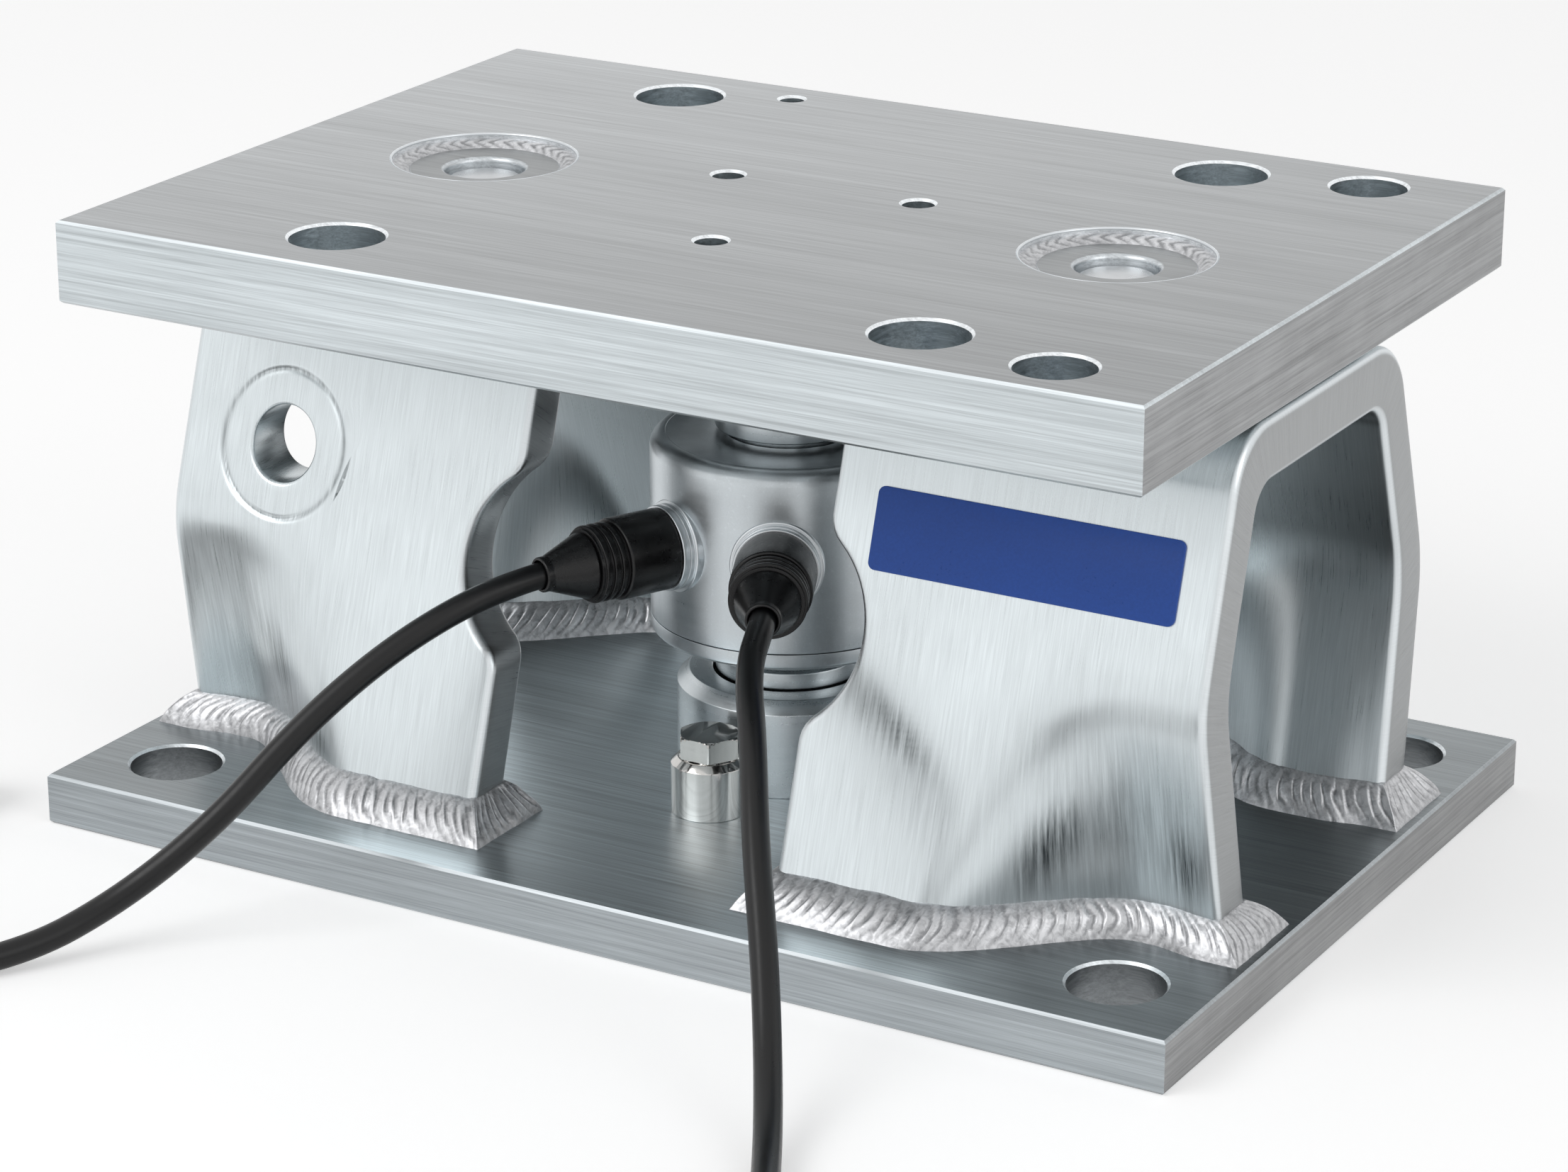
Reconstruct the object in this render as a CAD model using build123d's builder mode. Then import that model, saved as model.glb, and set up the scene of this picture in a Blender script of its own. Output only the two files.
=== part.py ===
"""Self-aligning weighing module for a tank or hopper leg.

A digital column load cell stands between a welded base plate and a floating top plate. Two
pressed pedestals beside it catch the top plate if it lifts or drifts. Millimetres, Z up, the
origin is under the centre of the base plate, X runs along the long side.
"""

from build123d import *
import math
import os

os.makedirs("parts", exist_ok=True)

# Base plate
base_long = 375.0
base_wide = 250.0
base_thick = 16.0
anchor_margin_x = 28.0
anchor_margin_y = 27.5
base_hole_x = base_long - 2 * anchor_margin_x
base_hole_y = base_wide - 2 * anchor_margin_y
anchor_hole_r = 14.0
plate_edge = 0.8

# Top plate
top_long = 350.0
top_wide = 245.0
top_thick = 25.0
module_height = 191.0
top_low = module_height - top_thick
top_margin_x = 80.0
top_margin_y = 27.5
top_hole_x = top_long - 2 * top_margin_x
top_hole_y = top_wide - 2 * top_margin_y
end_margin_x = 35.5
end_margin_y = 19.5
end_hole_x = top_long / 2 - end_margin_x
end_hole_y = top_wide - 2 * end_margin_y
end_hole_r = 11.5
access_hole_r = 4.9
access_side_x = 32.4
access_side_y = 19.5
access_front_y = -45.0
earth_hole_r = 4.0
earth_hole_x = -61.6
earth_margin_y = 13.8
earth_hole_y = top_wide / 2 - earth_margin_y

# Pedestals, pressed from plate into an upside-down trough
plate_gap = 3.0
pedestal_top = top_low - plate_gap
roof_thick = 18.5
wall_thick = 16.6
foot_margin = 25.4
foot_half = base_wide / 2 - foot_margin
wall_lean = 17.4
bend_r = 22.0
inner_bend_r = 11.0
end_inner_x = 51.3
end_margin = 11.9
end_foot_x = base_long / 2 - end_margin
end_kink_x = end_foot_x - 2.3
end_top_x = end_foot_x - 3.4
kink_drop = 75.0
kink_z = pedestal_top - kink_drop
kink_soft = 10.0
pocket_run = 61.0
pocket_margin = 22.6
pocket_end = end_foot_x - pocket_margin
pocket_start = pocket_end - pocket_run
pocket_rake = 0.33
pocket_slope = 0.53
pocket_relief = 0.075
waist_z = kink_z + 4.0
waist_deep = 15.2
waist_r = 30.0
waist_soft = 10.0
relief_x = end_foot_x - 18.6
station_spans = 11
station_low_x = end_inner_x - 11.3
station_high_x = end_foot_x + 7.4
skin_low = 0.34
skin_high = 0.68

# Hold-down studs
stud_x = 107.0
stud_r = 12.0
thread_gap = 0.05
float_travel = 2.5
stud_clear = 0.5
uplift_gap = 3.0
washer_r = 22.0
washer_thick = 4.0
nut_flats = 36.0
nut_thick = 19.0
lock_nut_thick = 12.0
stud_tail = 4.0
stud_chamfer = 1.2
nut_crown = 1.5
boss_hole_r = 28.0
boss_top_r = 21.0
boss_sink = 2.5
boss_ledge = 9.0
boss_bore_r = 12.75
boss_bore_deep = 6.0
boss_round = 2.2
stud_sink = 4.0

# Rim coined round the tie hole of the left pedestal
tie_hole_r = 11.2
tie_coin_r = 21.8
tie_coin_deep = 1.4
tie_margin = 39.5
tie_drop = 49.2
tie_x = tie_margin - end_foot_x
tie_z = pedestal_top - tie_drop

# Fillet welds
weld_leg = 8.9
weld_bite = 1.2
weld_spans = 16
weld_trim = 3.0
weld_step = 1.0
weld_crown = 1.0

# Load cell and its seats
cell_r = 41.8
cell_wall = 3.0
cell_lid_r = 37.0
cell_lid_thick = 2.6
cell_throat_r = 19.0
cell_foot_gap = 13.7
cell_head_gap = 14.1
seam_rise = 4.6
cell_shoulder = 4.6
cell_chamfer = 1.4
seat_r = 34.0
seat_chamfer = 3.7
seat_height = 30.3
seat_bore_r = 23.0
seat_floor = 12.0
lower_neck_r = 18.7
upper_neck_r = 20.4
neck_rise = 2.4
neck_tall = 9.5
neck_round = 1.2
column_square = 26.0
column_foot_share = 0.26
column_head_share = 0.68
rocker_r = 70.0
rocker_face_r = 15.0
column_taper = 4.0
neck_groove = 0.5
seam_gap = 0.5
seam_lip = 2.5
lid_edge = 0.6
contact_gap = 0.2
seal_r = 1.9
seal_rise = 8.0
board_thick = 1.6
gauge_wide = 8.0
gauge_high = 12.0
gauge_thick = 0.5

# Cable sockets and plugs
plug_offset = 1.8
left_plug_turn = -26.2
right_plug_turn = 25.0
socket_flange_r = 14.0
socket_barrel_r = 12.9
socket_bore_r = 9.0
socket_back = 34.0
socket_seat = 37.0
socket_pins = 8
pin_circle_r = 5.2
pin_r = 0.8
socket_face = 41.9
socket_end = 45.6
plug_gap = 0.1
plug_nose = 7.0
plug_body_r = 12.3
plug_end = 63.0
plug_edge = 0.5
socket_rim = 1.0
rib_r = 11.6
rib_groove_r = 10.8
rib_pitch = 2.75
rib_count = 3
rib_first = 1.2
rib_thick = 1.5
cone_start = 72.2
cone_r = 10.1
cone_end = 87.5
cone_tip_r = 4.7
boot_bore_r = 4.3
boot_bore_deep = 7.0
running_gap = 1.6

# Cables
cable_r = 3.9
floor_z = cable_r + 0.05
coil_inner_r = 32.0
coil_pitch = 7.9
left_coil_turns = 3.75
right_coil_turns = 3.625
coil_lead = 32.0
coil_slack = 0.1
tail_run = 20.0
left_route = [
    (-51.8, -99.4, 87.7),
    (-66.6, -120.1, 75.5),
    (-80.7, -142.2, 57.7),
    (-93.2, -167.3, 34.6),
    (-113.1, -186.2, 14.2),
    (-128.5, -213.5, floor_z),
]
right_route = [
    (45.9, -103.2, 87.7),
    (60.3, -124.6, 75.5),
    (73.9, -146.8, 57.7),
    (90.0, -169.4, 34.6),
    (104.3, -192.1, 14.2),
    (119.8, -219.4, floor_z),
]
left_coil_touch = (-173.9, -277.8, floor_z)
right_coil_touch = (167.3, -309.4, floor_z)

# Post with its bolt
post_y = -47.4
post_r = 11.5
post_high = 17.4
post_chamfer = 2.0
bolt_flats = 17.0
bolt_head = 7.0
bolt_r = 5.0
bolt_deep = 14.0
bolt_turn = 0.0
bolt_slope = 0.6
bolt_face = 0.9

# Blank nameplate
name_near_margin = 14.4
name_far_margin = 15.0
name_drop = 29.4
name_run_z = 22.8
name_low_x = end_inner_x + name_near_margin
name_high_x = end_foot_x - name_far_margin
name_high_z = pedestal_top - name_drop
name_low_z = name_high_z - name_run_z
name_tall = (name_high_z - name_low_z) / math.cos(math.radians(wall_lean))
name_thick = 0.8
name_round = 4.0
name_gap = 0.05

# Values worked out from the sizes above
base_top = base_thick
lean = math.tan(math.radians(wall_lean))
side_gap = wall_thick / math.cos(math.radians(wall_lean))
contact_low = base_top + seat_floor
contact_high = top_low - seat_floor
roof_low = pedestal_top - roof_thick
cell_low = base_top + seat_height + cell_foot_gap
cell_seam = cell_low + seam_rise
cell_high = top_low - seat_height - cell_head_gap
neck_low = cell_high + neck_rise
neck_high = neck_low + neck_tall
column_low = cell_low + column_foot_share * (cell_high - cell_low)
column_high = cell_low + column_head_share * (cell_high - cell_low)
board_low = cell_high - cell_lid_thick - cell_wall - board_thick
plug_z = (cell_low + cell_high) / 2 + plug_offset


def smooth(t):
    """Ease from 0 to 1 with level ends."""
    t = min(max(t, 0.0), 1.0)
    return t * t * (3 - 2 * t)


def bent(u, soft):
    """Ramp that is 0 below -soft, u above soft, and a parabola between."""
    if u <= -soft:
        return 0.0
    if u >= soft:
        return u
    return (u + soft) ** 2 / (4 * soft)


def wall_y(x, z, inside):
    """Half width of the trough at one height: a leaning wall with a pressed pocket outside."""
    back = inside * 0.42
    start = pocket_start - back + pocket_rake * (z - base_top)
    press = smooth((x - start) / (pocket_end - back - start))
    press *= 1 - pocket_relief * smooth((x - relief_x) / (end_foot_x - relief_x))
    deep = pocket_slope * bent(kink_z - z, kink_soft) * press
    return foot_half - lean * (z - base_top) - deep - inside


def trough_section(x, roof, inside, radius):
    """Closed outline of the trough across X: roof, bend, wall, pressed kink and foot."""
    corner = foot_half - inside - lean * (roof - base_top)
    run = radius * math.tan(math.radians((90 - wall_lean) / 2))
    slope = math.radians(wall_lean)
    bend_start = (corner - run, roof)
    bend_end = (corner + run * math.sin(slope), roof - run * math.cos(slope))
    skin_foot = kink_z - kink_soft - base_top
    heights = [kink_z + kink_soft, kink_z, kink_z - kink_soft]
    heights += [base_top + skin_high * skin_foot, base_top + skin_low * skin_foot, base_top]
    skin = [(wall_y(x, z, inside), z) for z in heights]
    with BuildSketch(Plane.YZ.offset(x)) as outline:
        with BuildLine():
            Line((0, roof), bend_start)
            RadiusArc(bend_start, bend_end, radius)
            Line(bend_end, skin[0])
            Spline(*skin)
            Line(skin[-1], (0, base_top))
            mirror(about=Plane.YZ)
        make_face()
    return outline.sketch


def plug_plane(turn, along):
    """Plane across a plug's axis, which points level out of the cell, turned from -Y."""
    angle = math.radians(turn)
    out = Vector(math.sin(angle), -math.cos(angle), 0)
    return Plane(origin=out * along + Vector(0, 0, plug_z), x_dir=(0, 0, 1), z_dir=out)


def front_wall_plane(x, z, out=0.0):
    """Plane on the outside of the front walls, facing out."""
    angle = math.radians(wall_lean)
    face = Vector(0, -math.cos(angle), math.sin(angle))
    spot = Vector(x, -(foot_half - lean * (z - base_top)), z)
    return Plane(origin=spot + face * out, x_dir=(1, 0, 0), z_dir=face)


def save(piece, name):
    piece.part.label = name
    export_step(piece.part, "parts/" + name + ".step")


# Base plate with its anchor holes
with BuildPart() as base_plate:
    with BuildSketch():
        Rectangle(base_long, base_wide)
        with GridLocations(base_hole_x, base_hole_y, 2, 2):
            Circle(anchor_hole_r, mode=Mode.SUBTRACT)
    extrude(amount=base_thick)
    chamfer(base_plate.edges().group_by(Axis.Z)[-1], plate_edge)
    chamfer(base_plate.edges().group_by(Axis.Z)[0], plate_edge)
save(base_plate, "base_plate")


# Top plate with bolt holes, access holes and the two openings for the welded bosses
with BuildPart() as top_plate:
    with BuildSketch(Plane.XY.offset(top_low)):
        Rectangle(top_long, top_wide)
        with GridLocations(top_hole_x, top_hole_y, 2, 2):
            Circle(anchor_hole_r, mode=Mode.SUBTRACT)
        with Locations((end_hole_x, -end_hole_y / 2), (end_hole_x, end_hole_y / 2)):
            Circle(end_hole_r, mode=Mode.SUBTRACT)
        with Locations((-access_side_x, access_side_y), (access_side_x, access_side_y), (0, access_front_y)):
            Circle(access_hole_r, mode=Mode.SUBTRACT)
        with Locations((earth_hole_x, earth_hole_y)):
            Circle(earth_hole_r, mode=Mode.SUBTRACT)
        with Locations((-stud_x, 0), (stud_x, 0)):
            Circle(boss_hole_r, mode=Mode.SUBTRACT)
    extrude(amount=top_thick)
    chamfer(top_plate.edges().group_by(Axis.Z)[-1], plate_edge)
    chamfer(top_plate.edges().group_by(Axis.Z)[0], plate_edge)
save(top_plate, "top_plate")


# Trough shape shared by both pedestals: outside form, tunnel form and side outline
station_step = (station_high_x - station_low_x) / station_spans
stations = [station_low_x + station_step * i for i in range(station_spans + 1)]
with BuildPart() as trough_outside:
    loft([trough_section(x, pedestal_top, 0, bend_r) for x in stations])
with BuildPart() as tunnel:
    loft([trough_section(x, roof_low, side_gap, inner_bend_r) for x in stations])

waist_rise = math.sqrt((waist_r + waist_soft) ** 2 - (waist_r - waist_deep + waist_soft) ** 2)
waist_center = end_inner_x + waist_deep - waist_r
meet = waist_r / (waist_r + waist_soft)
with BuildPart() as side_outline:
    with BuildSketch(Plane.XZ.offset(-base_wide)):
        with BuildLine():
            touch_x = waist_center + (end_inner_x + waist_soft - waist_center) * meet
            touch_z = waist_rise * meet
            Line((end_inner_x, base_top - 1), (end_inner_x, waist_z - waist_rise))
            RadiusArc((end_inner_x, waist_z - waist_rise), (touch_x, waist_z - touch_z), waist_soft)
            RadiusArc((touch_x, waist_z - touch_z), (touch_x, waist_z + touch_z), -waist_r)
            RadiusArc((touch_x, waist_z + touch_z), (end_inner_x, waist_z + waist_rise), waist_soft)
            Polyline(
                (end_inner_x, waist_z + waist_rise),
                (end_inner_x, pedestal_top + 1),
                (end_top_x, pedestal_top + 1),
                (end_kink_x, kink_z),
                (end_foot_x, base_top - 1),
                (end_inner_x, base_top - 1),
            )
        make_face()
    extrude(amount=2 * base_wide, both=True)

with BuildPart() as right_pedestal:
    add(trough_outside.part)
    add(tunnel.part, mode=Mode.SUBTRACT)
    add(side_outline.part, mode=Mode.INTERSECT)
    with BuildSketch(Plane.XY.offset(roof_low - 5)):
        with Locations((stud_x, 0)):
            Circle(stud_r + float_travel + stud_clear)
    extrude(amount=roof_thick + 10, mode=Mode.SUBTRACT)
save(right_pedestal, "right_pedestal")

# The left pedestal has tie holes through both walls, each in a round coined rim
with BuildPart() as coin:
    with BuildSketch(front_wall_plane(tie_x, tie_z, -tie_coin_deep)):
        Rectangle(4 * tie_coin_r, 4 * tie_coin_r)
    extrude(amount=4 * tie_coin_r)
    with BuildSketch(Plane.XZ.offset(0)):
        with Locations((tie_x, tie_z)):
            Circle(tie_coin_r)
    extrude(amount=2 * base_wide, mode=Mode.INTERSECT)

with BuildPart() as left_pedestal:
    add(right_pedestal.part.mirror(Plane.YZ))
    with BuildSketch(Plane.XZ.offset(-base_wide)):
        with Locations((tie_x, tie_z)):
            Circle(tie_hole_r)
    extrude(amount=2 * base_wide, mode=Mode.SUBTRACT)
    add(coin.part, mode=Mode.SUBTRACT)
    add(coin.part.mirror(Plane.XZ), mode=Mode.SUBTRACT)
save(left_pedestal, "left_pedestal")


# Fillet weld round the foot of each pedestal wall
weld_high = base_top + weld_leg + weld_bite
weld_stations = [end_inner_x + (end_foot_x - end_inner_x) * i / weld_spans for i in range(weld_spans + 1)]


def wall_normal(x, z, inside):
    """Unit vector in plan, square to the wall and away from the middle of the trough."""
    slope = wall_y(x + 0.5, z, inside) - wall_y(x - 0.5, z, inside)
    size = math.hypot(slope, 1)
    return -slope / size, 1 / size


def foot_edge(z, inside, out, low_x, high_x):
    """Line of the wall in plan, moved out square to itself and trimmed to two X values."""
    line = []
    for x in weld_stations:
        nx, ny = wall_normal(x, z, inside)
        line.append((x + nx * out, wall_y(x, z, inside) + ny * out))
    inner = [(x, y) for x, y in line if low_x + weld_trim < x < high_x - weld_trim]
    return [(low_x, line[0][1])] + inner + [(high_x, line[-1][1])]


def foot_outline(z, out):
    """Closed outline round one wall's foot, moved out all round by one amount."""
    low_x = end_inner_x - out
    high_x = end_foot_x + out
    outer = foot_edge(z, 0, out, low_x, high_x)
    inner = foot_edge(z, side_gap, -out, low_x, high_x)
    with BuildSketch(Plane.XY.offset(z)) as outline:
        with BuildLine():
            Spline(*outer)
            Line(outer[-1], inner[-1])
            Spline(*reversed(inner))
            Line(inner[0], outer[0])
        make_face()
    return outline.sketch


with BuildPart() as right_rear_weld:
    loft([foot_outline(base_top, weld_leg), foot_outline(weld_high, -weld_bite)], ruled=True)
    add(right_pedestal.part, mode=Mode.SUBTRACT)
save(right_rear_weld, "right_rear_weld")

with BuildPart() as right_front_weld:
    add(right_rear_weld.part.mirror(Plane.XZ))
save(right_front_weld, "right_front_weld")

with BuildPart() as left_rear_weld:
    add(right_rear_weld.part.mirror(Plane.YZ))
save(left_rear_weld, "left_rear_weld")

with BuildPart() as left_front_weld:
    add(left_rear_weld.part.mirror(Plane.XZ))
save(left_front_weld, "left_front_weld")


# Threaded bosses welded into the top plate, with a hold-down stud, washer and two nuts in each
boss_high = module_height - boss_sink
boss_step = module_height - boss_ledge
stud_high = boss_high - stud_sink
washer_low = roof_low - uplift_gap - washer_thick
nut_low = washer_low - nut_thick
lock_low = nut_low - lock_nut_thick
stud_low = lock_low - stud_tail

for side, sign in (("left", -1), ("right", 1)):
    middle = sign * stud_x
    with BuildPart() as boss:
        with BuildSketch(Plane.XY.offset(top_low)):
            with Locations((middle, 0)):
                Circle(boss_hole_r - thread_gap)
        extrude(amount=boss_step - top_low)
        with BuildSketch(Plane.XY.offset(boss_step)):
            with Locations((middle, 0)):
                Circle(boss_top_r)
        extrude(amount=boss_high - boss_step)
        with BuildSketch(Plane.XY.offset(top_low)):
            with Locations((middle, 0)):
                Circle(stud_r + thread_gap)
        extrude(amount=boss_high - top_low, mode=Mode.SUBTRACT)
        with BuildSketch(Plane.XY.offset(boss_high - boss_bore_deep)):
            with Locations((middle, 0)):
                Circle(boss_bore_r)
        extrude(amount=boss_bore_deep, mode=Mode.SUBTRACT)
        fillet(boss.edges().group_by(Axis.Z)[-1], boss_round)
    save(boss, side + "_boss")

    with BuildPart() as boss_weld:
        with BuildSketch(Plane.XZ):
            with BuildLine():
                Polyline(
                    (middle + boss_top_r, boss_high - boss_round - weld_step),
                    (middle + boss_top_r, boss_step),
                    (middle + boss_hole_r, boss_step),
                    (middle + boss_hole_r, module_height - weld_step),
                )
                ThreePointArc(
                    (middle + boss_hole_r, module_height - weld_step),
                    (middle + (boss_hole_r + boss_top_r) / 2, module_height - boss_sink + weld_crown),
                    (middle + boss_top_r, boss_high - boss_round - weld_step),
                )
            make_face()
        revolve(axis=Axis((middle, 0, 0), (0, 0, 1)))
    save(boss_weld, side + "_boss_weld")

    with BuildPart() as stud:
        with BuildSketch(Plane.XY.offset(stud_low)):
            with Locations((middle, 0)):
                Circle(stud_r)
        extrude(amount=stud_high - stud_low)
        chamfer(stud.edges().filter_by(GeomType.CIRCLE), stud_chamfer)
    save(stud, side + "_stud")

    with BuildPart() as washer:
        with BuildSketch(Plane.XY.offset(washer_low)):
            with Locations((middle, 0)):
                Circle(washer_r)
                Circle(stud_r + thread_gap, mode=Mode.SUBTRACT)
        extrude(amount=washer_thick)
        chamfer(washer.edges().filter_by(GeomType.CIRCLE).sort_by(SortBy.RADIUS)[-2:], plate_edge)
    save(washer, side + "_washer")

    for name, low, thick in (("_nut", nut_low, nut_thick), ("_lock_nut", lock_low, lock_nut_thick)):
        with BuildPart() as nut:
            with BuildSketch(Plane.XY.offset(low)):
                with Locations((middle, 0)):
                    RegularPolygon(nut_flats / 2, 6, major_radius=False)
                    Circle(stud_r + thread_gap, mode=Mode.SUBTRACT)
            extrude(amount=thick)
            with BuildSketch(Plane.XZ):
                with BuildLine():
                    Polyline(
                        (middle, low),
                        (middle + nut_flats / 2, low),
                        (middle + nut_flats / 2 + nut_crown * 2, low + nut_crown),
                        (middle + nut_flats / 2 + nut_crown * 2, low + thick - nut_crown),
                        (middle + nut_flats / 2, low + thick),
                        (middle, low + thick),
                        close=True,
                    )
                make_face()
            revolve(axis=Axis((middle, 0, 0), (0, 0, 1)), mode=Mode.INTERSECT)
        save(nut, side + name)


# Seats that hold the spherical ends of the rocker column
with BuildPart() as lower_seat:
    with BuildSketch(Plane.XY.offset(base_top)):
        Circle(seat_r)
    extrude(amount=seat_height)
    chamfer(lower_seat.edges().group_by(Axis.Z)[-1], seat_chamfer)
    with BuildSketch(Plane.XY.offset(contact_low)):
        Circle(seat_bore_r)
    extrude(amount=seat_height - seat_floor, mode=Mode.SUBTRACT)
save(lower_seat, "lower_seat")

with BuildPart() as upper_seat:
    add(lower_seat.part.mirror(Plane.XY.offset((contact_low + contact_high) / 2)))
save(upper_seat, "upper_seat")


# Rubber rings in the seats, round the ends of the column
for name, height in (("lower_seal", contact_low + seal_rise), ("upper_seal", contact_high - seal_rise)):
    with BuildPart() as seal:
        with BuildSketch(Plane.XZ):
            with Locations((seat_bore_r - seal_r - thread_gap, height)):
                Circle(seal_r)
        revolve(axis=Axis.Z)
    save(seal, name)


# Rocker column with a square measuring section between its two necks
end_sag = rocker_r - math.sqrt(rocker_r ** 2 - rocker_face_r ** 2)
column_end = contact_low + contact_gap
column_top = contact_high - contact_gap
with BuildPart() as rocker_column:
    with BuildSketch(Plane.XZ):
        with BuildLine():
            RadiusArc((0, column_end), (rocker_face_r, column_end + end_sag), -rocker_r)
            Polyline(
                (rocker_face_r, column_end + end_sag),
                (lower_neck_r, column_end + end_sag + lower_neck_r - rocker_face_r),
                (lower_neck_r, column_low - column_taper),
                (column_square / 2 * math.sqrt(2), column_low),
                (column_square / 2 * math.sqrt(2), column_high),
                (cell_throat_r - neck_groove, column_high + column_taper),
                (cell_throat_r - neck_groove, neck_low),
                (upper_neck_r - neck_round, neck_low),
            )
            lip_start = (upper_neck_r - neck_round, neck_low)
            lip_end = (upper_neck_r, neck_low + neck_round)
            RadiusArc(lip_start, lip_end, -neck_round)
            Polyline(
                (upper_neck_r, neck_low + neck_round),
                (upper_neck_r, neck_high),
                (lower_neck_r, neck_high + upper_neck_r - lower_neck_r),
                (lower_neck_r, column_top - end_sag - lower_neck_r + rocker_face_r),
                (rocker_face_r, column_top - end_sag),
            )
            RadiusArc((rocker_face_r, column_top - end_sag), (0, column_top), -rocker_r)
            Line((0, column_top), (0, column_end))
        make_face()
    revolve(axis=Axis.Z)
    with BuildSketch(Plane.XY.offset(column_low)):
        Circle(upper_neck_r)
        Rectangle(column_square, column_square, mode=Mode.SUBTRACT)
    extrude(amount=column_high - column_low, mode=Mode.SUBTRACT)
save(rocker_column, "rocker_column")


# Strain gauges on the four flats of the column, and the ring-shaped signal board above them
gauge_low = (column_low + column_high - gauge_high) / 2
for number in range(4):
    with BuildPart() as gauge:
        flat = Plane.XZ.rotated((0, 0, 90 * number)).offset(column_square / 2)
        with BuildSketch(flat):
            with Locations((0, gauge_low + gauge_high / 2)):
                Rectangle(gauge_wide, gauge_high)
        extrude(amount=gauge_thick)
    save(gauge, "strain_gauge_" + str(number + 1))

with BuildPart() as signal_board:
    with BuildSketch(Plane.XY.offset(board_low)):
        Circle(cell_r - cell_wall - thread_gap)
        Circle(cell_throat_r + 2, mode=Mode.SUBTRACT)
    extrude(amount=board_thick)
save(signal_board, "signal_board")


# Housing round the column: base ring, drum with a rounded shoulder, and a lid
with BuildPart() as cell_base_ring:
    with BuildSketch(Plane.XY.offset(cell_low)):
        Circle(cell_r)
        Circle(lower_neck_r + thread_gap, mode=Mode.SUBTRACT)
    extrude(amount=cell_seam - cell_low)
    chamfer(cell_base_ring.edges().group_by(Axis.Z)[0].sort_by(SortBy.RADIUS)[-1], cell_chamfer)
    with BuildSketch(Plane.XY.offset(cell_seam)):
        Circle(cell_r - cell_wall - thread_gap)
        Circle(cell_r - 2 * cell_wall, mode=Mode.SUBTRACT)
    extrude(amount=seam_gap + seam_lip)
save(cell_base_ring, "cell_base_ring")

with BuildPart() as cell_housing:
    with BuildSketch(Plane.XY.offset(cell_seam + seam_gap)):
        Circle(cell_r)
    extrude(amount=cell_high - cell_seam - seam_gap)
    fillet(cell_housing.edges().group_by(Axis.Z)[-1], cell_shoulder)
    with BuildSketch(Plane.XY.offset(cell_seam + seam_gap)):
        Circle(cell_r - cell_wall)
    extrude(amount=cell_high - cell_lid_thick - cell_wall - cell_seam - seam_gap, mode=Mode.SUBTRACT)
    with BuildSketch(Plane.XY.offset(cell_high - cell_lid_thick)):
        Circle(cell_lid_r)
    extrude(amount=cell_lid_thick, mode=Mode.SUBTRACT)
    with BuildSketch(Plane.XY.offset(board_low)):
        Circle(cell_throat_r)
    extrude(amount=cell_high - board_low, mode=Mode.SUBTRACT)
    for turn in (left_plug_turn, right_plug_turn):
        with BuildSketch(plug_plane(turn, socket_back)):
            Circle(socket_flange_r + thread_gap)
        extrude(amount=cell_r - socket_back + 1, mode=Mode.SUBTRACT)
save(cell_housing, "cell_housing")

with BuildPart() as cell_lid:
    with BuildSketch(Plane.XY.offset(cell_high - cell_lid_thick)):
        Circle(cell_lid_r - thread_gap)
        Circle(cell_throat_r, mode=Mode.SUBTRACT)
    extrude(amount=cell_lid_thick)
    chamfer(cell_lid.edges().group_by(Axis.Z)[-1], lid_edge)
save(cell_lid, "cell_lid")


def plug_body(place):
    """Plug from its nose to its last rib, on a plane at the joint with the socket."""
    with BuildPart() as body:
        with BuildSketch(place.offset(-plug_nose)):
            Circle(socket_bore_r - plug_gap)
            with PolarLocations(pin_circle_r, socket_pins):
                Circle(pin_r + plug_gap, mode=Mode.SUBTRACT)
        extrude(amount=plug_nose)
        with BuildSketch(place):
            Circle(plug_body_r)
        extrude(amount=plug_end - socket_end - plug_gap)
        chamfer(body.edges().filter_by(GeomType.CIRCLE).sort_by(SortBy.RADIUS)[-2:], plug_edge)
        with BuildSketch(place.offset(plug_end - socket_end - plug_gap)):
            Circle(rib_groove_r)
        extrude(amount=cone_start - plug_end)
        for number in range(rib_count):
            with BuildSketch(place.offset(plug_end - socket_end - plug_gap + rib_first + rib_pitch * number)):
                Circle(rib_r)
            extrude(amount=rib_thick)
    return body


def plug_boot(place):
    """Tapered boot behind the plug, with a short bore that the cable goes into."""
    with BuildPart() as boot:
        with BuildSketch(place.offset(cone_start - socket_end - plug_gap)):
            Circle(cone_r)
        with BuildSketch(place.offset(cone_end - socket_end - plug_gap)):
            Circle(cone_tip_r)
        loft()
        with BuildSketch(place.offset(cone_end - boot_bore_deep - socket_end - plug_gap)):
            Circle(boot_bore_r)
        extrude(amount=boot_bore_deep, mode=Mode.SUBTRACT)
    return boot


def route_radii(points):
    """Largest tangent arcs for a cable's corners: each uses 0.45 of its shorter run."""
    radii = []
    for before, corner, after in zip(points, points[1:], points[2:]):
        first = Vector(*corner) - Vector(*before)
        second = Vector(*after) - Vector(*corner)
        half_turn = math.radians(first.get_angle(second) / 2)
        radii.append(0.45 * min(first.length, second.length) / math.tan(half_turn))
    return radii


def tube(points):
    """Round cable along straight runs joined by tangent arcs."""
    radii = route_radii(points)
    with BuildPart() as cable:
        with BuildLine() as route:
            if radii:
                FilletPolyline(*points, radius=radii)
            else:
                Line(*points)
        with BuildSketch(Plane(origin=points[0], z_dir=Vector(*points[1]) - Vector(*points[0]))):
            Circle(cable_r)
        sweep()
    long = sum(edge.length for edge in route.edges())
    share = cable.part.volume / (math.pi * cable_r ** 2 * long)
    print("cable run", round(long, 1), "radii", [round(r, 1) for r in radii], "volume", round(share, 5))
    return cable


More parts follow.
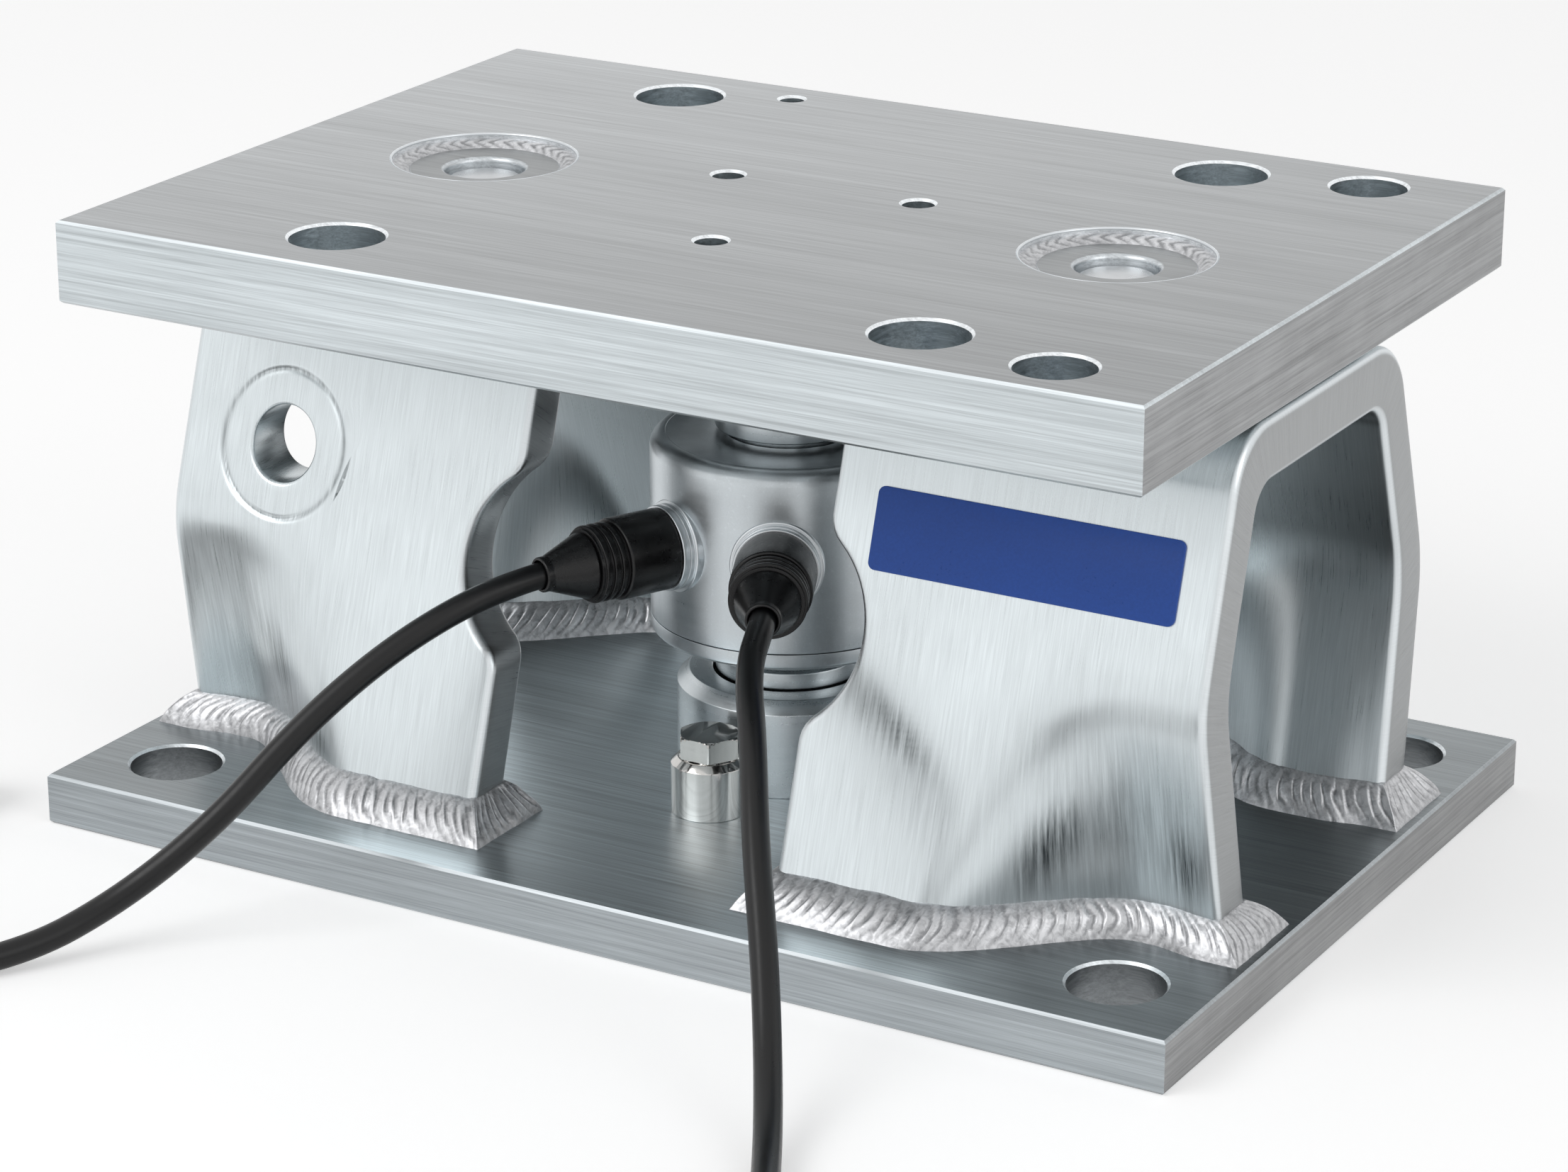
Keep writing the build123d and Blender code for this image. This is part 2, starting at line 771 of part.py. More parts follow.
# Sockets in the housing wall, plugs, boots and cables, and each cable's spare length in a coil
socket_pair = (
    ("left", left_plug_turn, left_route, left_coil_touch, left_coil_turns),
    ("right", right_plug_turn, right_route, right_coil_touch, right_coil_turns),
)
layer_z = plug_body_r + thread_gap
for side, turn, route, touch, layer_turns in socket_pair:
    with BuildPart() as socket:
        with BuildSketch(plug_plane(turn, socket_back)):
            Circle(socket_barrel_r)
        extrude(amount=socket_end - socket_back)
        with BuildSketch(plug_plane(turn, socket_seat)):
            Circle(socket_flange_r)
        extrude(amount=socket_face - socket_seat)
        with BuildSketch(plug_plane(turn, socket_seat)):
            Circle(socket_bore_r)
        extrude(amount=socket_end - socket_seat, mode=Mode.SUBTRACT)
        with BuildSketch(plug_plane(turn, socket_seat)):
            with PolarLocations(pin_circle_r, socket_pins):
                Circle(pin_r)
        extrude(amount=socket_end - socket_seat - socket_rim)
    save(socket, side + "_socket")
    save(plug_body(plug_plane(turn, socket_end + plug_gap)), side + "_plug")
    save(plug_boot(plug_plane(turn, socket_end + plug_gap)), side + "_boot")

    start = plug_plane(turn, cone_end + running_gap).origin
    heading = (Vector(*touch) - Vector(*route[-1])).normalized()
    inward = Vector(heading.Y, -heading.X, 0)
    coil_outer_r = coil_inner_r + coil_pitch * layer_turns
    lead_end = Vector(*touch) - heading * coil_lead
    save(tube([tuple(start), *route, tuple(lead_end)]), side + "_cable")

    middle = Vector(touch[0], touch[1], 0) + inward * coil_outer_r
    with BuildPart() as coil:
        with BuildSketch(Plane(origin=middle, x_dir=heading)):
            Circle(coil_outer_r + cable_r + coil_slack)
            Circle(coil_inner_r - cable_r - coil_slack, mode=Mode.SUBTRACT)
        extrude(amount=layer_z + cable_r + coil_slack)
        with BuildSketch(Plane(origin=Vector(touch[0], touch[1], 0), x_dir=heading)):
            with Locations((-coil_lead / 2, 0)):
                Rectangle(coil_lead, 2 * cable_r)
        extrude(amount=2 * floor_z)
    save(coil, side + "_coil")

    wound = 4 * math.pi * layer_turns
    leave = heading * math.sin(wound) - inward * math.cos(wound)
    onward = heading * math.cos(wound) + inward * math.sin(wound)
    tail_start = middle + leave * coil_outer_r + Vector(0, 0, layer_z) + onward * coil_lead
    far_tip = tail_start + onward * tail_run
    far_joint = far_tip + onward * (cone_end - socket_end - plug_gap)
    save(tube([tuple(tail_start), tuple(far_tip + onward * (boot_bore_deep - 1))]), side + "_tail")
    far_place = Plane(origin=far_joint, x_dir=(0, 0, 1), z_dir=onward * -1)
    save(plug_body(far_place), side + "_far_plug")
    save(plug_boot(far_place), side + "_far_boot")


# Earthing post with its bolt, in front of the cell
with BuildPart() as earth_post:
    with BuildSketch(Plane.XY.offset(base_top)):
        with Locations((0, post_y)):
            Circle(post_r)
    extrude(amount=post_high)
    chamfer(earth_post.edges().group_by(Axis.Z)[-1], post_chamfer)
    with BuildSketch(Plane.XY.offset(base_top + post_high - bolt_deep - post_chamfer)):
        with Locations((0, post_y)):
            Circle(bolt_r + thread_gap)
    extrude(amount=bolt_deep + post_chamfer, mode=Mode.SUBTRACT)
save(earth_post, "earth_post")

bolt_seat = base_top + post_high
with BuildPart() as earth_bolt:
    with BuildSketch(Plane.XY.offset(bolt_seat)):
        with Locations((0, post_y)):
            RegularPolygon(bolt_flats / 2, 6, major_radius=False, rotation=bolt_turn)
    extrude(amount=bolt_head)
    with BuildSketch(Plane.XZ.offset(-post_y)):
        with BuildLine():
            Polyline(
                (0, bolt_seat),
                (bolt_flats, bolt_seat),
                (bolt_flats, bolt_seat + bolt_head - bolt_flats / 2 * bolt_slope),
                (bolt_flats / 2 * bolt_face, bolt_seat + bolt_head),
                (0, bolt_seat + bolt_head),
                close=True,
            )
        make_face()
    revolve(axis=Axis((0, post_y, 0), (0, 0, 1)), mode=Mode.INTERSECT)
    with BuildSketch(Plane.XY.offset(bolt_seat - bolt_deep)):
        with Locations((0, post_y)):
            Circle(bolt_r)
    extrude(amount=bolt_deep)
save(earth_bolt, "earth_bolt")


# Blank nameplate on the front wall of the right pedestal
name_mid_z = (name_low_z + name_high_z) / 2
with BuildPart() as nameplate:
    with BuildSketch(front_wall_plane((name_low_x + name_high_x) / 2, name_mid_z, name_gap)):
        RectangleRounded(name_high_x - name_low_x, name_tall, name_round)
    extrude(amount=name_thick)
save(nameplate, "nameplate")
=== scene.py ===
import math

import bmesh
import bpy
import numpy as np
from mathutils import Matrix


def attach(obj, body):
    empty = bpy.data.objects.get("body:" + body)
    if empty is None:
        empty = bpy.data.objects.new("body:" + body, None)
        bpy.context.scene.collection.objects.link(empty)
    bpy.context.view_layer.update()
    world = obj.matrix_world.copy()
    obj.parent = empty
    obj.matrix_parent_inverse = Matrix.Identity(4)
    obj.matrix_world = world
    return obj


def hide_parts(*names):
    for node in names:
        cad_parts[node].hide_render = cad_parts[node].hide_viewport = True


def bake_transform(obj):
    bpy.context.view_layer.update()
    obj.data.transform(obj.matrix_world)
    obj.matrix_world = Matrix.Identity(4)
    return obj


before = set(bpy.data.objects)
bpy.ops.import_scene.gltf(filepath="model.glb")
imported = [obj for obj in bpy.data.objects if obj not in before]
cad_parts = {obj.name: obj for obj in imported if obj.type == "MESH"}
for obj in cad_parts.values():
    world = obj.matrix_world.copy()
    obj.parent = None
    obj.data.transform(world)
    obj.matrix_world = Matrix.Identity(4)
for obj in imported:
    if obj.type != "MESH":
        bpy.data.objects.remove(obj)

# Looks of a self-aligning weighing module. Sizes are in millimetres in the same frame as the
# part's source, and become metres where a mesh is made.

MM = 0.001
BASE_TOP = 16.0
TOP_LOW = 166.0
BOSS_X = 107.0
POST_Y = -47.4
scene = bpy.context.scene
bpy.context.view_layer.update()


# Camera
def stand(thing, place, side, over, towards):
    """Puts a camera or lamp at a place in metres: its columns are its side, its top and its back."""
    pose = Matrix.Identity(4)
    for row in range(3):
        for column, way in enumerate((side, over, -towards, place)):
            pose[row][column] = way[row]
    thing.matrix_world = pose
    scene.collection.objects.link(thing)


AZIMUTH = math.radians(29.944)
ELEVATION = math.radians(20.057)
right = np.array([math.cos(AZIMUTH), math.sin(AZIMUTH), 0.0])
forward = np.array([-math.sin(AZIMUTH) * math.cos(ELEVATION), math.cos(AZIMUTH) * math.cos(ELEVATION),
                    -math.sin(ELEVATION)])
up = np.cross(right, forward)
spot = right * -1.535 + up * 67.186 - forward * 1457.25
camera_data = bpy.data.cameras.new("camera")
camera_data.lens = 108.89
camera_data.sensor_width = 36.0
camera_data.sensor_fit = "HORIZONTAL"
camera_data.clip_end = 20.0
camera = bpy.data.objects.new("camera", camera_data)
roll = math.radians(0.046)
stand(camera, spot * MM, right * math.cos(roll) + up * math.sin(roll),
      up * math.cos(roll) - right * math.sin(roll), forward)
scene.camera = camera


# Material graphs
class Graph:
    """Node graph of one material, written as small sums."""

    def __init__(self, name):
        self.material = bpy.data.materials.new(name)
        self.material.use_nodes = True
        self.nodes = self.material.node_tree.nodes
        self.links = self.material.node_tree.links
        self.shader = self.nodes["Principled BSDF"]

    def feed(self, value, socket):
        """Links a socket, or writes a plain value on it."""
        if isinstance(value, bpy.types.NodeSocket):
            self.links.new(value, socket)
        else:
            socket.default_value = value

    def math(self, kind, first, second=0.0, third=0.0):
        node = self.nodes.new("ShaderNodeMath")
        node.operation = kind
        for value, socket in zip((first, second, third), node.inputs):
            self.feed(value, socket)
        return node.outputs[0]

    def added(self, first, *others):
        """Sum of several numbers."""
        for value in others:
            first = self.math("ADD", first, value)
        return first

    def largest(self, first, *others):
        for value in others:
            first = self.math("MAXIMUM", first, value)
        return first

    def times(self, first, second):
        return self.math("MULTIPLY", first, second)

    def size(self, value):
        return self.math("ABSOLUTE", value)

    def scaled(self, vector, amounts):
        node = self.nodes.new("ShaderNodeVectorMath")
        node.operation = "MULTIPLY"
        self.feed(vector, node.inputs[0])
        node.inputs[1].default_value = amounts
        return node.outputs[0]

    def place(self):
        """Place in the piece's own frame, in metres."""
        return self.nodes.new("ShaderNodeTexCoord").outputs["Object"]

    def split(self, vector):
        node = self.nodes.new("ShaderNodeSeparateXYZ")
        self.links.new(vector, node.inputs[0])
        return node.outputs

    def facing(self):
        """Three parts of the surface's direction in the piece's own frame."""
        return self.split(self.nodes.new("ShaderNodeTexCoord").outputs["Normal"])

    def attribute(self, name, kind="Vector"):
        node = self.nodes.new("ShaderNodeAttribute")
        node.attribute_name = name
        return node.outputs[kind]

    def noise(self, vector, scale=1.0, detail=3.0, rough=0.55, twist=0.0):
        node = self.nodes.new("ShaderNodeTexNoise")
        self.feed(vector, node.inputs["Vector"])
        for key, amount in (("Scale", scale), ("Detail", detail), ("Roughness", rough),
                            ("Distortion", twist)):
            node.inputs[key].default_value = amount
        return node.outputs["Fac"]

    def span(self, value, low, high, out_low=0.0, out_high=1.0):
        """Value from low to high carried over to a new span, with ends held."""
        node = self.nodes.new("ShaderNodeMapRange")
        node.clamp = True
        self.feed(value, node.inputs["Value"])
        for key, amount in (("From Min", low), ("From Max", high), ("To Min", out_low), ("To Max", out_high)):
            self.feed(amount, node.inputs[key])
        return node.outputs["Result"]

    def drift(self, value, amount):
        """Noise carried over to a small amount either way."""
        return self.span(value, 0.3, 0.7, -amount, amount)

    def mixed(self, share, first, second):
        """Blend of two colours or two numbers."""
        node = self.nodes.new("ShaderNodeMix")
        colour = any(isinstance(v, tuple) or (isinstance(v, bpy.types.NodeSocket) and v.type == "RGBA")
                     for v in (first, second))
        node.data_type = "RGBA" if colour else "FLOAT"
        spots = [s for s in node.inputs if s.type == ("RGBA" if colour else "VALUE") and s.name in ("A", "B")]
        self.feed(share, node.inputs[0])
        for value, socket in zip((first, second), spots):
            self.feed(value, socket)
        return [s for s in node.outputs if s.type == ("RGBA" if colour else "VALUE")][0]

    def tinted(self, colour, amount):
        """Colour times a number."""
        node = self.nodes.new("ShaderNodeVectorMath")
        node.operation = "SCALE"
        self.feed(colour[:3] if isinstance(colour, tuple) else colour, node.inputs[0])
        self.feed(amount, node.inputs["Scale"])
        return node.outputs[0]

    def relief(self, height, strength, distance):
        node = self.nodes.new("ShaderNodeBump")
        self.feed(height, node.inputs["Height"])
        node.inputs["Strength"].default_value = strength
        node.inputs["Distance"].default_value = distance
        self.links.new(node.outputs[0], self.shader.inputs["Normal"])

    def finish(self, colour, rough, metal):
        self.feed(colour, self.shader.inputs["Base Color"])
        self.feed(rough, self.shader.inputs["Roughness"])
        self.shader.inputs["Metallic"].default_value = metal
        return self.material


def plate_finish(name, top, drift, middle, front, end, under, edge, bore, painted_highlight_rim, half_long, half_wide):
    """Milled plate: fine marks along X on top and front, along Y on the ends. Light and shade are painted
    into
    its colour: each facing (top, front, ends, underside) has its own tone, lit and shaded copies of one
    steel, the broken edges and hole rims are painted highlights, and the bores painted shade. The top
    grows brighter by drift from the near right corner to the far left one, and middle is its brightness
    between the pedestals against that of its ends; both are painted light."""
    g = Graph(name)
    spot = g.place()
    facing = g.facing()
    along_x = g.noise(g.scaled(spot, (9.0, 850.0, 850.0)), detail=6.0, rough=0.68)
    fine_x = g.noise(g.scaled(spot, (30.0, 2600.0, 2600.0)), detail=3.0, rough=0.6)
    broad_x = g.noise(g.scaled(spot, (2.5, 75.0, 75.0)), detail=4.0)
    along_y = g.noise(g.scaled(spot, (900.0, 14.0, 1100.0)), detail=6.0, rough=0.68)
    cloud = g.noise(spot, scale=9.0, detail=2.0)
    parts = g.split(spot)
    off_x = g.size(parts[0])
    off_y = g.size(parts[1])
    is_end = g.span(g.size(facing[0]), 0.6, 0.9)
    is_top = g.span(facing[2], 0.85, 0.97)
    is_under = g.span(facing[2], -0.5, -0.9)
    is_front = g.span(g.size(facing[1]), 0.85, 0.97)
    flat = g.largest(is_top, is_front, is_under, g.span(g.size(facing[0]), 0.85, 0.97))
    streak = g.mixed(is_end, g.added(g.times(along_x, 0.6), g.times(fine_x, 0.4)), along_y)
    # Painted light: the top's tone drifts brighter from the near right corner to the far left one, and takes
    # the middle factor between the pedestals.
    across = g.math("SUBTRACT", parts[1], parts[0])
    painted_light_spread = g.times(g.span(across, -0.26, 0.26, 1.0 - drift, 1.0 + drift),
                     g.span(off_x, 0.07, 0.13, middle, 1.0))
    # Painted light and shade: front, ends and underside take their own tones, lit and shaded copies of the
    # top's steel.
    tone = g.mixed(is_front, g.tinted(top, painted_light_spread), front)
    tone = g.mixed(is_end, tone, end)
    tone = g.mixed(is_under, tone, under)
    within = g.math("MINIMUM", g.span(off_x, half_long - 0.0016, half_long - 0.0012, 1.0, 0.0),
                    g.span(off_y, half_wide - 0.0016, half_wide - 0.0012, 1.0, 0.0))
    # Painted highlight: broken edges take the edge tone at the plate's sides and the pale tone of the hole
    # rims round holes.
    tone = g.mixed(g.math("SUBTRACT", 1.0, flat), tone, g.mixed(within, edge, painted_highlight_rim))
    # Painted shade: the steep faces of holes take the darker bore tone.
    steep = g.times(within, g.span(g.size(facing[2]), 0.2, 0.3, 1.0, 0.0))
    tone = g.mixed(steep, tone, bore)
    # Painted highlight: the bore of the boss opening takes the pale tone of the hole rims.
    from_boss = g.math("SUBTRACT", off_x, BOSS_X * MM)
    reach = g.math("SQRT", g.added(g.times(from_boss, from_boss), g.times(off_y, off_y)))
    tone = g.mixed(g.times(steep, g.span(reach, 0.0284, 0.0290, 1.0, 0.0)), tone, painted_highlight_rim)
    amount = g.added(g.span(streak, 0.30, 0.70, 0.66, 1.34), g.drift(cloud, 0.04), g.drift(broad_x, 0.06))
    rough = g.added(g.span(streak, 0.3, 0.7, 0.28, 0.40), g.drift(cloud, 0.03))
    g.relief(streak, 0.3, 0.00004)
    return g.finish(g.tinted(tone, amount), rough, 1.0)


def drawn_finish(name, wall, cut, edge, inside, painted_shade_colour):
    """Pressed plate: fine marks down the walls and marks across the cut ends. Light and shade are painted
    into its colour: the cut ends and the inside are darker, the inside more so up towards its roof, as
    painted shade; the rounded edges are pale, as painted highlights; and streaky patches from an
    attribute are darker still, as painted reflections and shade."""
    g = Graph(name)
    grain = g.attribute("grain")
    is_cut = g.attribute("cut", "Fac")
    press = g.attribute("press", "Fac")
    inner = g.attribute("inner", "Fac")
    down = g.noise(g.scaled(grain, (0.045, 0.0, 1.9)), detail=5.0, rough=0.64)
    across = g.noise(g.scaled(grain, (1.9, 0.06, 0.0)), detail=5.0, rough=0.64)
    patchy = g.noise(g.scaled(grain, (0.035, 0.0, 0.9)), detail=5.0, rough=0.66)
    cloud = g.noise(g.place(), scale=18.0, detail=3.0)
    streak = g.mixed(is_cut, down, across)
    # Painted shade: the inside takes a darker tone, paler low down and darker up towards its roof.
    lift = g.span(g.split(g.place())[2], 0.03, 0.11, 1.35, 0.75)
    tone = g.mixed(g.math("POWER", inner, 3.0), wall, g.tinted(inside, lift))
    # Painted shade: the cut ends take their own darker tone.
    tone = g.mixed(is_cut, tone, cut)
    # Painted highlight: the rounded edges between the walls and the cut ends take the pale edge tone.
    painted_highlight_rim = g.times(is_cut, g.math("SUBTRACT", 1.0, is_cut))
    tone = g.mixed(g.span(painted_highlight_rim, 0.10, 0.24, 0.0, 0.85), tone, edge)
    # Painted reflections and shade: streaky patches where the attribute is set take the darkest tone.
    tone = g.mixed(g.times(press, g.span(patchy, 0.36, 0.60, 0.12, 1.0)), tone, painted_shade_colour)
    amount = g.added(g.span(streak, 0.28, 0.72, 0.87, 1.10), g.drift(cloud, 0.04))
    rough = g.added(g.span(streak, 0.3, 0.7, 0.26, 0.36), g.drift(cloud, 0.03))
    g.relief(streak, 0.25, 0.00003)
    return g.finish(g.tinted(tone, amount), rough, 1.0)


def turned_finish(name, colour, rough_low, rough_high, contrast, speck=0.0, groove=1.4, painted_reflection_bands=0.0):
    """Turned metal: fine rings round the axis, and soft stripes along it that are painted reflections, both
    laid out by the piece's own grain.
    """
    g = Graph(name)
    grain = g.attribute("grain")
    rings = g.noise(g.scaled(grain, (0.01, 0.01, groove)), detail=4.0, rough=0.6)
    # Painted reflection: soft stripes along the axis, as a turned cylinder's reflections.
    sides = g.noise(g.scaled(grain, (0.065, 0.065, 0.0)), detail=2.0, rough=0.5)
    cloud = g.noise(g.place(), scale=35.0, detail=3.0)
    fine = g.noise(g.place(), scale=1700.0, detail=2.0)
    dots = g.noise(g.place(), scale=900.0, detail=1.0)
    amount = g.added(g.span(rings, 0.25, 0.75, 1.0 - contrast, 1.0 + contrast), g.drift(cloud, 0.03),
                     g.drift(fine, speck), g.span(dots, 0.64, 0.76, 0.0, speck * 3.0),
                     g.span(sides, 0.34, 0.66, -painted_reflection_bands, painted_reflection_bands))
    rough = g.added(g.span(rings, 0.3, 0.7, rough_low, rough_high), g.drift(fine, 0.02))
    g.relief(g.added(g.times(rings, 0.7), g.times(fine, 0.3)), 0.06, 0.000008)
    return g.finish(g.tinted(colour, amount), rough, 1.0)


def bead_finish(name, bright, painted_shade_colour):
    """Weld metal: pale crests and darker hollows between the ripples, a painted highlight and painted shade,
    broken up by small flakes. Faces turned in, to the middle of the pedestal, are paler, as painted light."""
    g = Graph(name)
    ripple = g.attribute("ripple", "Fac")
    cloud = g.noise(g.place(), scale=190.0, detail=4.0, rough=0.6)
    flake = g.noise(g.place(), scale=420.0, detail=3.0, rough=0.6, twist=1.2)
    fine = g.noise(g.place(), scale=1100.0, detail=3.0)
    share = g.added(g.span(ripple, -0.9, 0.9), g.drift(cloud, 0.20), g.drift(flake, 0.42))
    # Painted light: faces turned in to the tunnel are made brighter.
    turned_in = g.times(g.split(g.place())[1], g.facing()[1])
    tone = g.mixed(g.span(share, 0.0, 1.0), painted_shade_colour, bright)
    tone = g.tinted(tone, g.span(turned_in, -0.03, -0.004, 1.6, 1.0))
    rough = g.added(g.span(cloud, 0.3, 0.7, 0.28, 0.42), g.drift(fine, 0.04))
    g.relief(g.added(g.times(flake, 0.7), g.times(fine, 0.3)), 0.35, 0.00022)
    return g.finish(tone, rough, 0.75)


def grained_finish(name, colour, metal, gloss, marks, patches, contrast, clouding, rough, rough_clouding,
                   bump):
    """Plain piece with fine marks and soft patches, each a noise of (scales along X, Y and Z),
    detail and roughness. The marks carry its colour over the span contrast and its roughness over
    the span rough, and the patches shift both a little either way."""
    g = Graph(name)
    fine = g.noise(g.scaled(g.place(), marks[0]), detail=marks[1], rough=marks[2])
    cloud = g.noise(g.scaled(g.place(), patches[0]), detail=patches[1])
    amount = g.added(g.span(fine, 0.3, 0.7, *contrast), g.drift(cloud, clouding))
    roughness = g.added(g.span(fine, 0.3, 0.7, *rough), g.drift(cloud, rough_clouding))
    g.relief(fine, *bump)
    g.shader.inputs["Specular IOR Level"].default_value = gloss
    return g.finish(g.tinted(colour, amount), roughness, metal)


def moulded_finish(name, colour, rough, scale, bump):
    """Moulded black parts: satin skin with a fine, even grain and soft patches."""
    return grained_finish(name, colour, 0.0, 0.38, ((scale, scale, scale), 3.0, 0.55),
                          ((60.0, 60.0, 60.0), 3.0), (0.92, 1.08), 0.06, rough, 0.02, (0.15, bump))


def painted_finish(name, colour):
    """Satin printed foil: a faint drift of colour and a fine grain."""
    return grained_finish(name, colour, 0.0, 0.3, ((1200.0, 1200.0, 1200.0), 2.0, 0.55),
                          ((12.0, 30.0, 30.0), 3.0), (0.94, 1.06), 0.07, (0.30, 0.38), 0.04,
                          (0.2, 0.00002))


def plated_finish(name, colour):
    """Plated studs and nuts: fine rings round an upright axis and a faint mottle."""
    return grained_finish(name, colour, 1.0, 0.5, ((60.0, 60.0, 2200.0), 4.0, 0.6),
                          ((140.0, 140.0, 140.0), 4.0), (0.90, 1.08), 0.06, (0.24, 0.34), 0.03,
                          (0.2, 0.00001))


def mirror_finish(name, colour):
    """Polished steel with a few hair lines."""
    g = Graph(name)
    hair = g.noise(g.scaled(g.place(), (500.0, 500.0, 60.0)), detail=4.0)
    cloud = g.noise(g.place(), scale=80.0, detail=3.0)
    amount = g.added(g.span(hair, 0.3, 0.7, 0.95, 1.04), g.drift(cloud, 0.03))
    g.relief(hair, 0.1, 0.00001)
    return g.finish(g.tinted(colour, amount), g.span(hair, 0.35, 0.7, 0.07, 0.14), 1.0)


# Each plate's tones after the top's are painted light and shade for its facings, edges, bores and hole rims,
# over one milled steel.
top_steel = plate_finish("milled top plate", (0.375, 0.387, 0.395), 0.19, 1.0, (0.57, 0.615, 0.635, 1),
                         (0.31, 0.315, 0.32, 1), (0.66, 0.69, 0.70, 1), (0.58, 0.62, 0.64, 1),
                         (0.50, 0.55, 0.575, 1), (0.84, 0.87, 0.89, 1), 0.175, 0.1225)
base_steel = plate_finish("milled base plate", (0.25, 0.273, 0.283), 0.10, 2.4, (0.385, 0.416, 0.435, 1),
                          (0.275, 0.278, 0.28, 1), (0.30, 0.31, 0.32, 1), (0.36, 0.385, 0.40, 1),
                          (0.27, 0.285, 0.295, 1), (0.70, 0.74, 0.76, 1), 0.1875, 0.125)
boss_steel = plate_finish("boss face", (0.28, 0.29, 0.295), 0.0, 1.0, (0.62, 0.66, 0.68, 1),
                          (0.55, 0.57, 0.58, 1), (0.30, 0.31, 0.32, 1), (0.74, 0.78, 0.80, 1),
                          (0.55, 0.58, 0.60, 1), (0.55, 0.58, 0.60, 1), 0.175, 0.1225)
# Cut, inside and last tones are painted shade and the edge tone a painted highlight, over one pressed steel.
pressed_steel = drawn_finish("pressed plate", (0.69, 0.742, 0.762, 1), (0.35, 0.36, 0.365, 1),
                             (0.74, 0.78, 0.80, 1), (0.50, 0.535, 0.55, 1), (0.05, 0.06, 0.065, 1))
# Crest and hollow tones of the weld: painted highlight and painted shade.
weld_metal = bead_finish("weld bead", (0.61, 0.615, 0.63, 1), (0.28, 0.284, 0.294, 1))
turned_steel = turned_finish("turned seat", (0.60, 0.64, 0.66), 0.26, 0.34, 0.03, speck=0.02, groove=0.8,
                             painted_reflection_bands=0.08)
cell_steel = turned_finish("satin cell", (0.54, 0.578, 0.60), 0.28, 0.36, 0.02, speck=0.03, groove=0.3,
                           painted_reflection_bands=0.15)
socket_metal = turned_finish("turned socket", (0.68, 0.71, 0.73), 0.30, 0.34, 0.01, groove=0.3)
stud_steel = plated_finish("plated stud", (0.62, 0.63, 0.64))
polished_steel = mirror_finish("polished post", (0.62, 0.61, 0.59))
bolt_steel = mirror_finish("polished bolt", (0.47, 0.46, 0.44))
seal_rubber = moulded_finish("seal rubber", (0.020, 0.020, 0.021), (0.55, 0.70), 900.0, 0.00005)
plug_black = moulded_finish("plug black", (0.005, 0.005, 0.0055), (0.26, 0.34), 700.0, 0.00001)
cable_black = moulded_finish("cable black", (0.0035, 0.0035, 0.004), (0.28, 0.36), 500.0, 0.00001)
plate_blue = painted_finish("blue foil", (0.027, 0.093, 0.41))
board_green = painted_finish("board lacquer", (0.03, 0.16, 0.07))
gauge_foil = painted_finish("gauge foil", (0.55, 0.36, 0.16))


# Mesh makers
class Shape:
    """Points, faces and values of one piece, gathered before its mesh is made."""

    def __init__(self):
        self.points = []
        self.values = {}
        self.faces = []
        self.count = 0

    def add(self, points, **values):
        """Adds a grid of points and gives their numbers in the same shape."""
        shape = points.shape[:-1]
        flat = points.reshape(-1, 3)
        self.points.append(flat)
        for name, value in values.items():
            value = np.broadcast_to(value, points.shape if name == "grain" else shape)
            value = value.reshape(-1, 3) if name == "grain" else value.reshape(-1)
            self.values.setdefault(name, []).append(value)
        index = np.arange(self.count, self.count + len(flat)).reshape(shape)
        self.count += len(flat)
        return index

    def quads(self, index, close_rows=False, close_cols=False, keep=None):
        """Four-sided faces between neighbours of a grid of point numbers."""
        if close_rows:
            index = np.concatenate([index, index[:1]], axis=0)
        if close_cols:
            index = np.concatenate([index, index[:, :1]], axis=1)
        faces = np.stack([index[:-1, :-1], index[1:, :-1], index[1:, 1:], index[:-1, 1:]], axis=-1)
        faces = faces[keep] if keep is not None else faces.reshape(-1, 4)
        self.faces.extend(faces.tolist())

    def cap(self, loop):
        self.faces.append([int(i) for i in loop])

    def build(self, name, body, slot, material, *nodes, sharp=40.0):
        """Mesh of the gathered faces, with every face turned outward."""
        mesh = bpy.data.meshes.new(name)
        points = np.concatenate(self.points) * MM
        mesh.from_pydata(points.tolist(), [], self.faces)
        for key, parts in self.values.items():
            values = np.concatenate(parts).astype(np.float32)
            kind = "FLOAT_VECTOR" if key == "grain" else "FLOAT"
            layer = mesh.attributes.new(key, kind, "POINT")
            layer.data.foreach_set("vector" if key == "grain" else "value", values.ravel())
        work = bmesh.new()
        work.from_mesh(mesh)
        loose = [v for v in work.verts if not v.link_faces]
        bmesh.ops.delete(work, geom=loose, context="VERTS")
        bmesh.ops.recalc_face_normals(work, faces=work.faces)
        work.to_mesh(mesh)
        work.free()
        mesh.shade_smooth()
        mesh.set_sharp_from_angle(angle=math.radians(sharp))
        mesh.materials.append(material)
        piece = bpy.data.objects.new(name, mesh)
        scene.collection.objects.link(piece)
        if body:
            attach(piece, body)
        if nodes:
            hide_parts(*nodes)
        return piece


def capped(rings):
    """Shape of rings of points, one after another, with a flat cap on each end."""
    shape = Shape()
    index = shape.add(rings)
    shape.quads(index, close_cols=True)
    shape.cap(index[0])
    shape.cap(index[-1])
    return shape


def full_turn(count):
    """Angles of a full turn at even steps."""
    return np.linspace(0, 2 * math.pi, count, endpoint=False)


def run_along(line):
    """Length along a line of points, from its first point to each."""
    return np.concatenate([[0], np.cumsum(np.linalg.norm(np.diff(line, axis=0), axis=1))])


def smooth(t):
    """Ease from 0 to 1 with level ends: 3 t squared less 2 t cubed."""
    t = np.clip(t, 0.0, 1.0)
    return t * t * (3 - 2 * t)


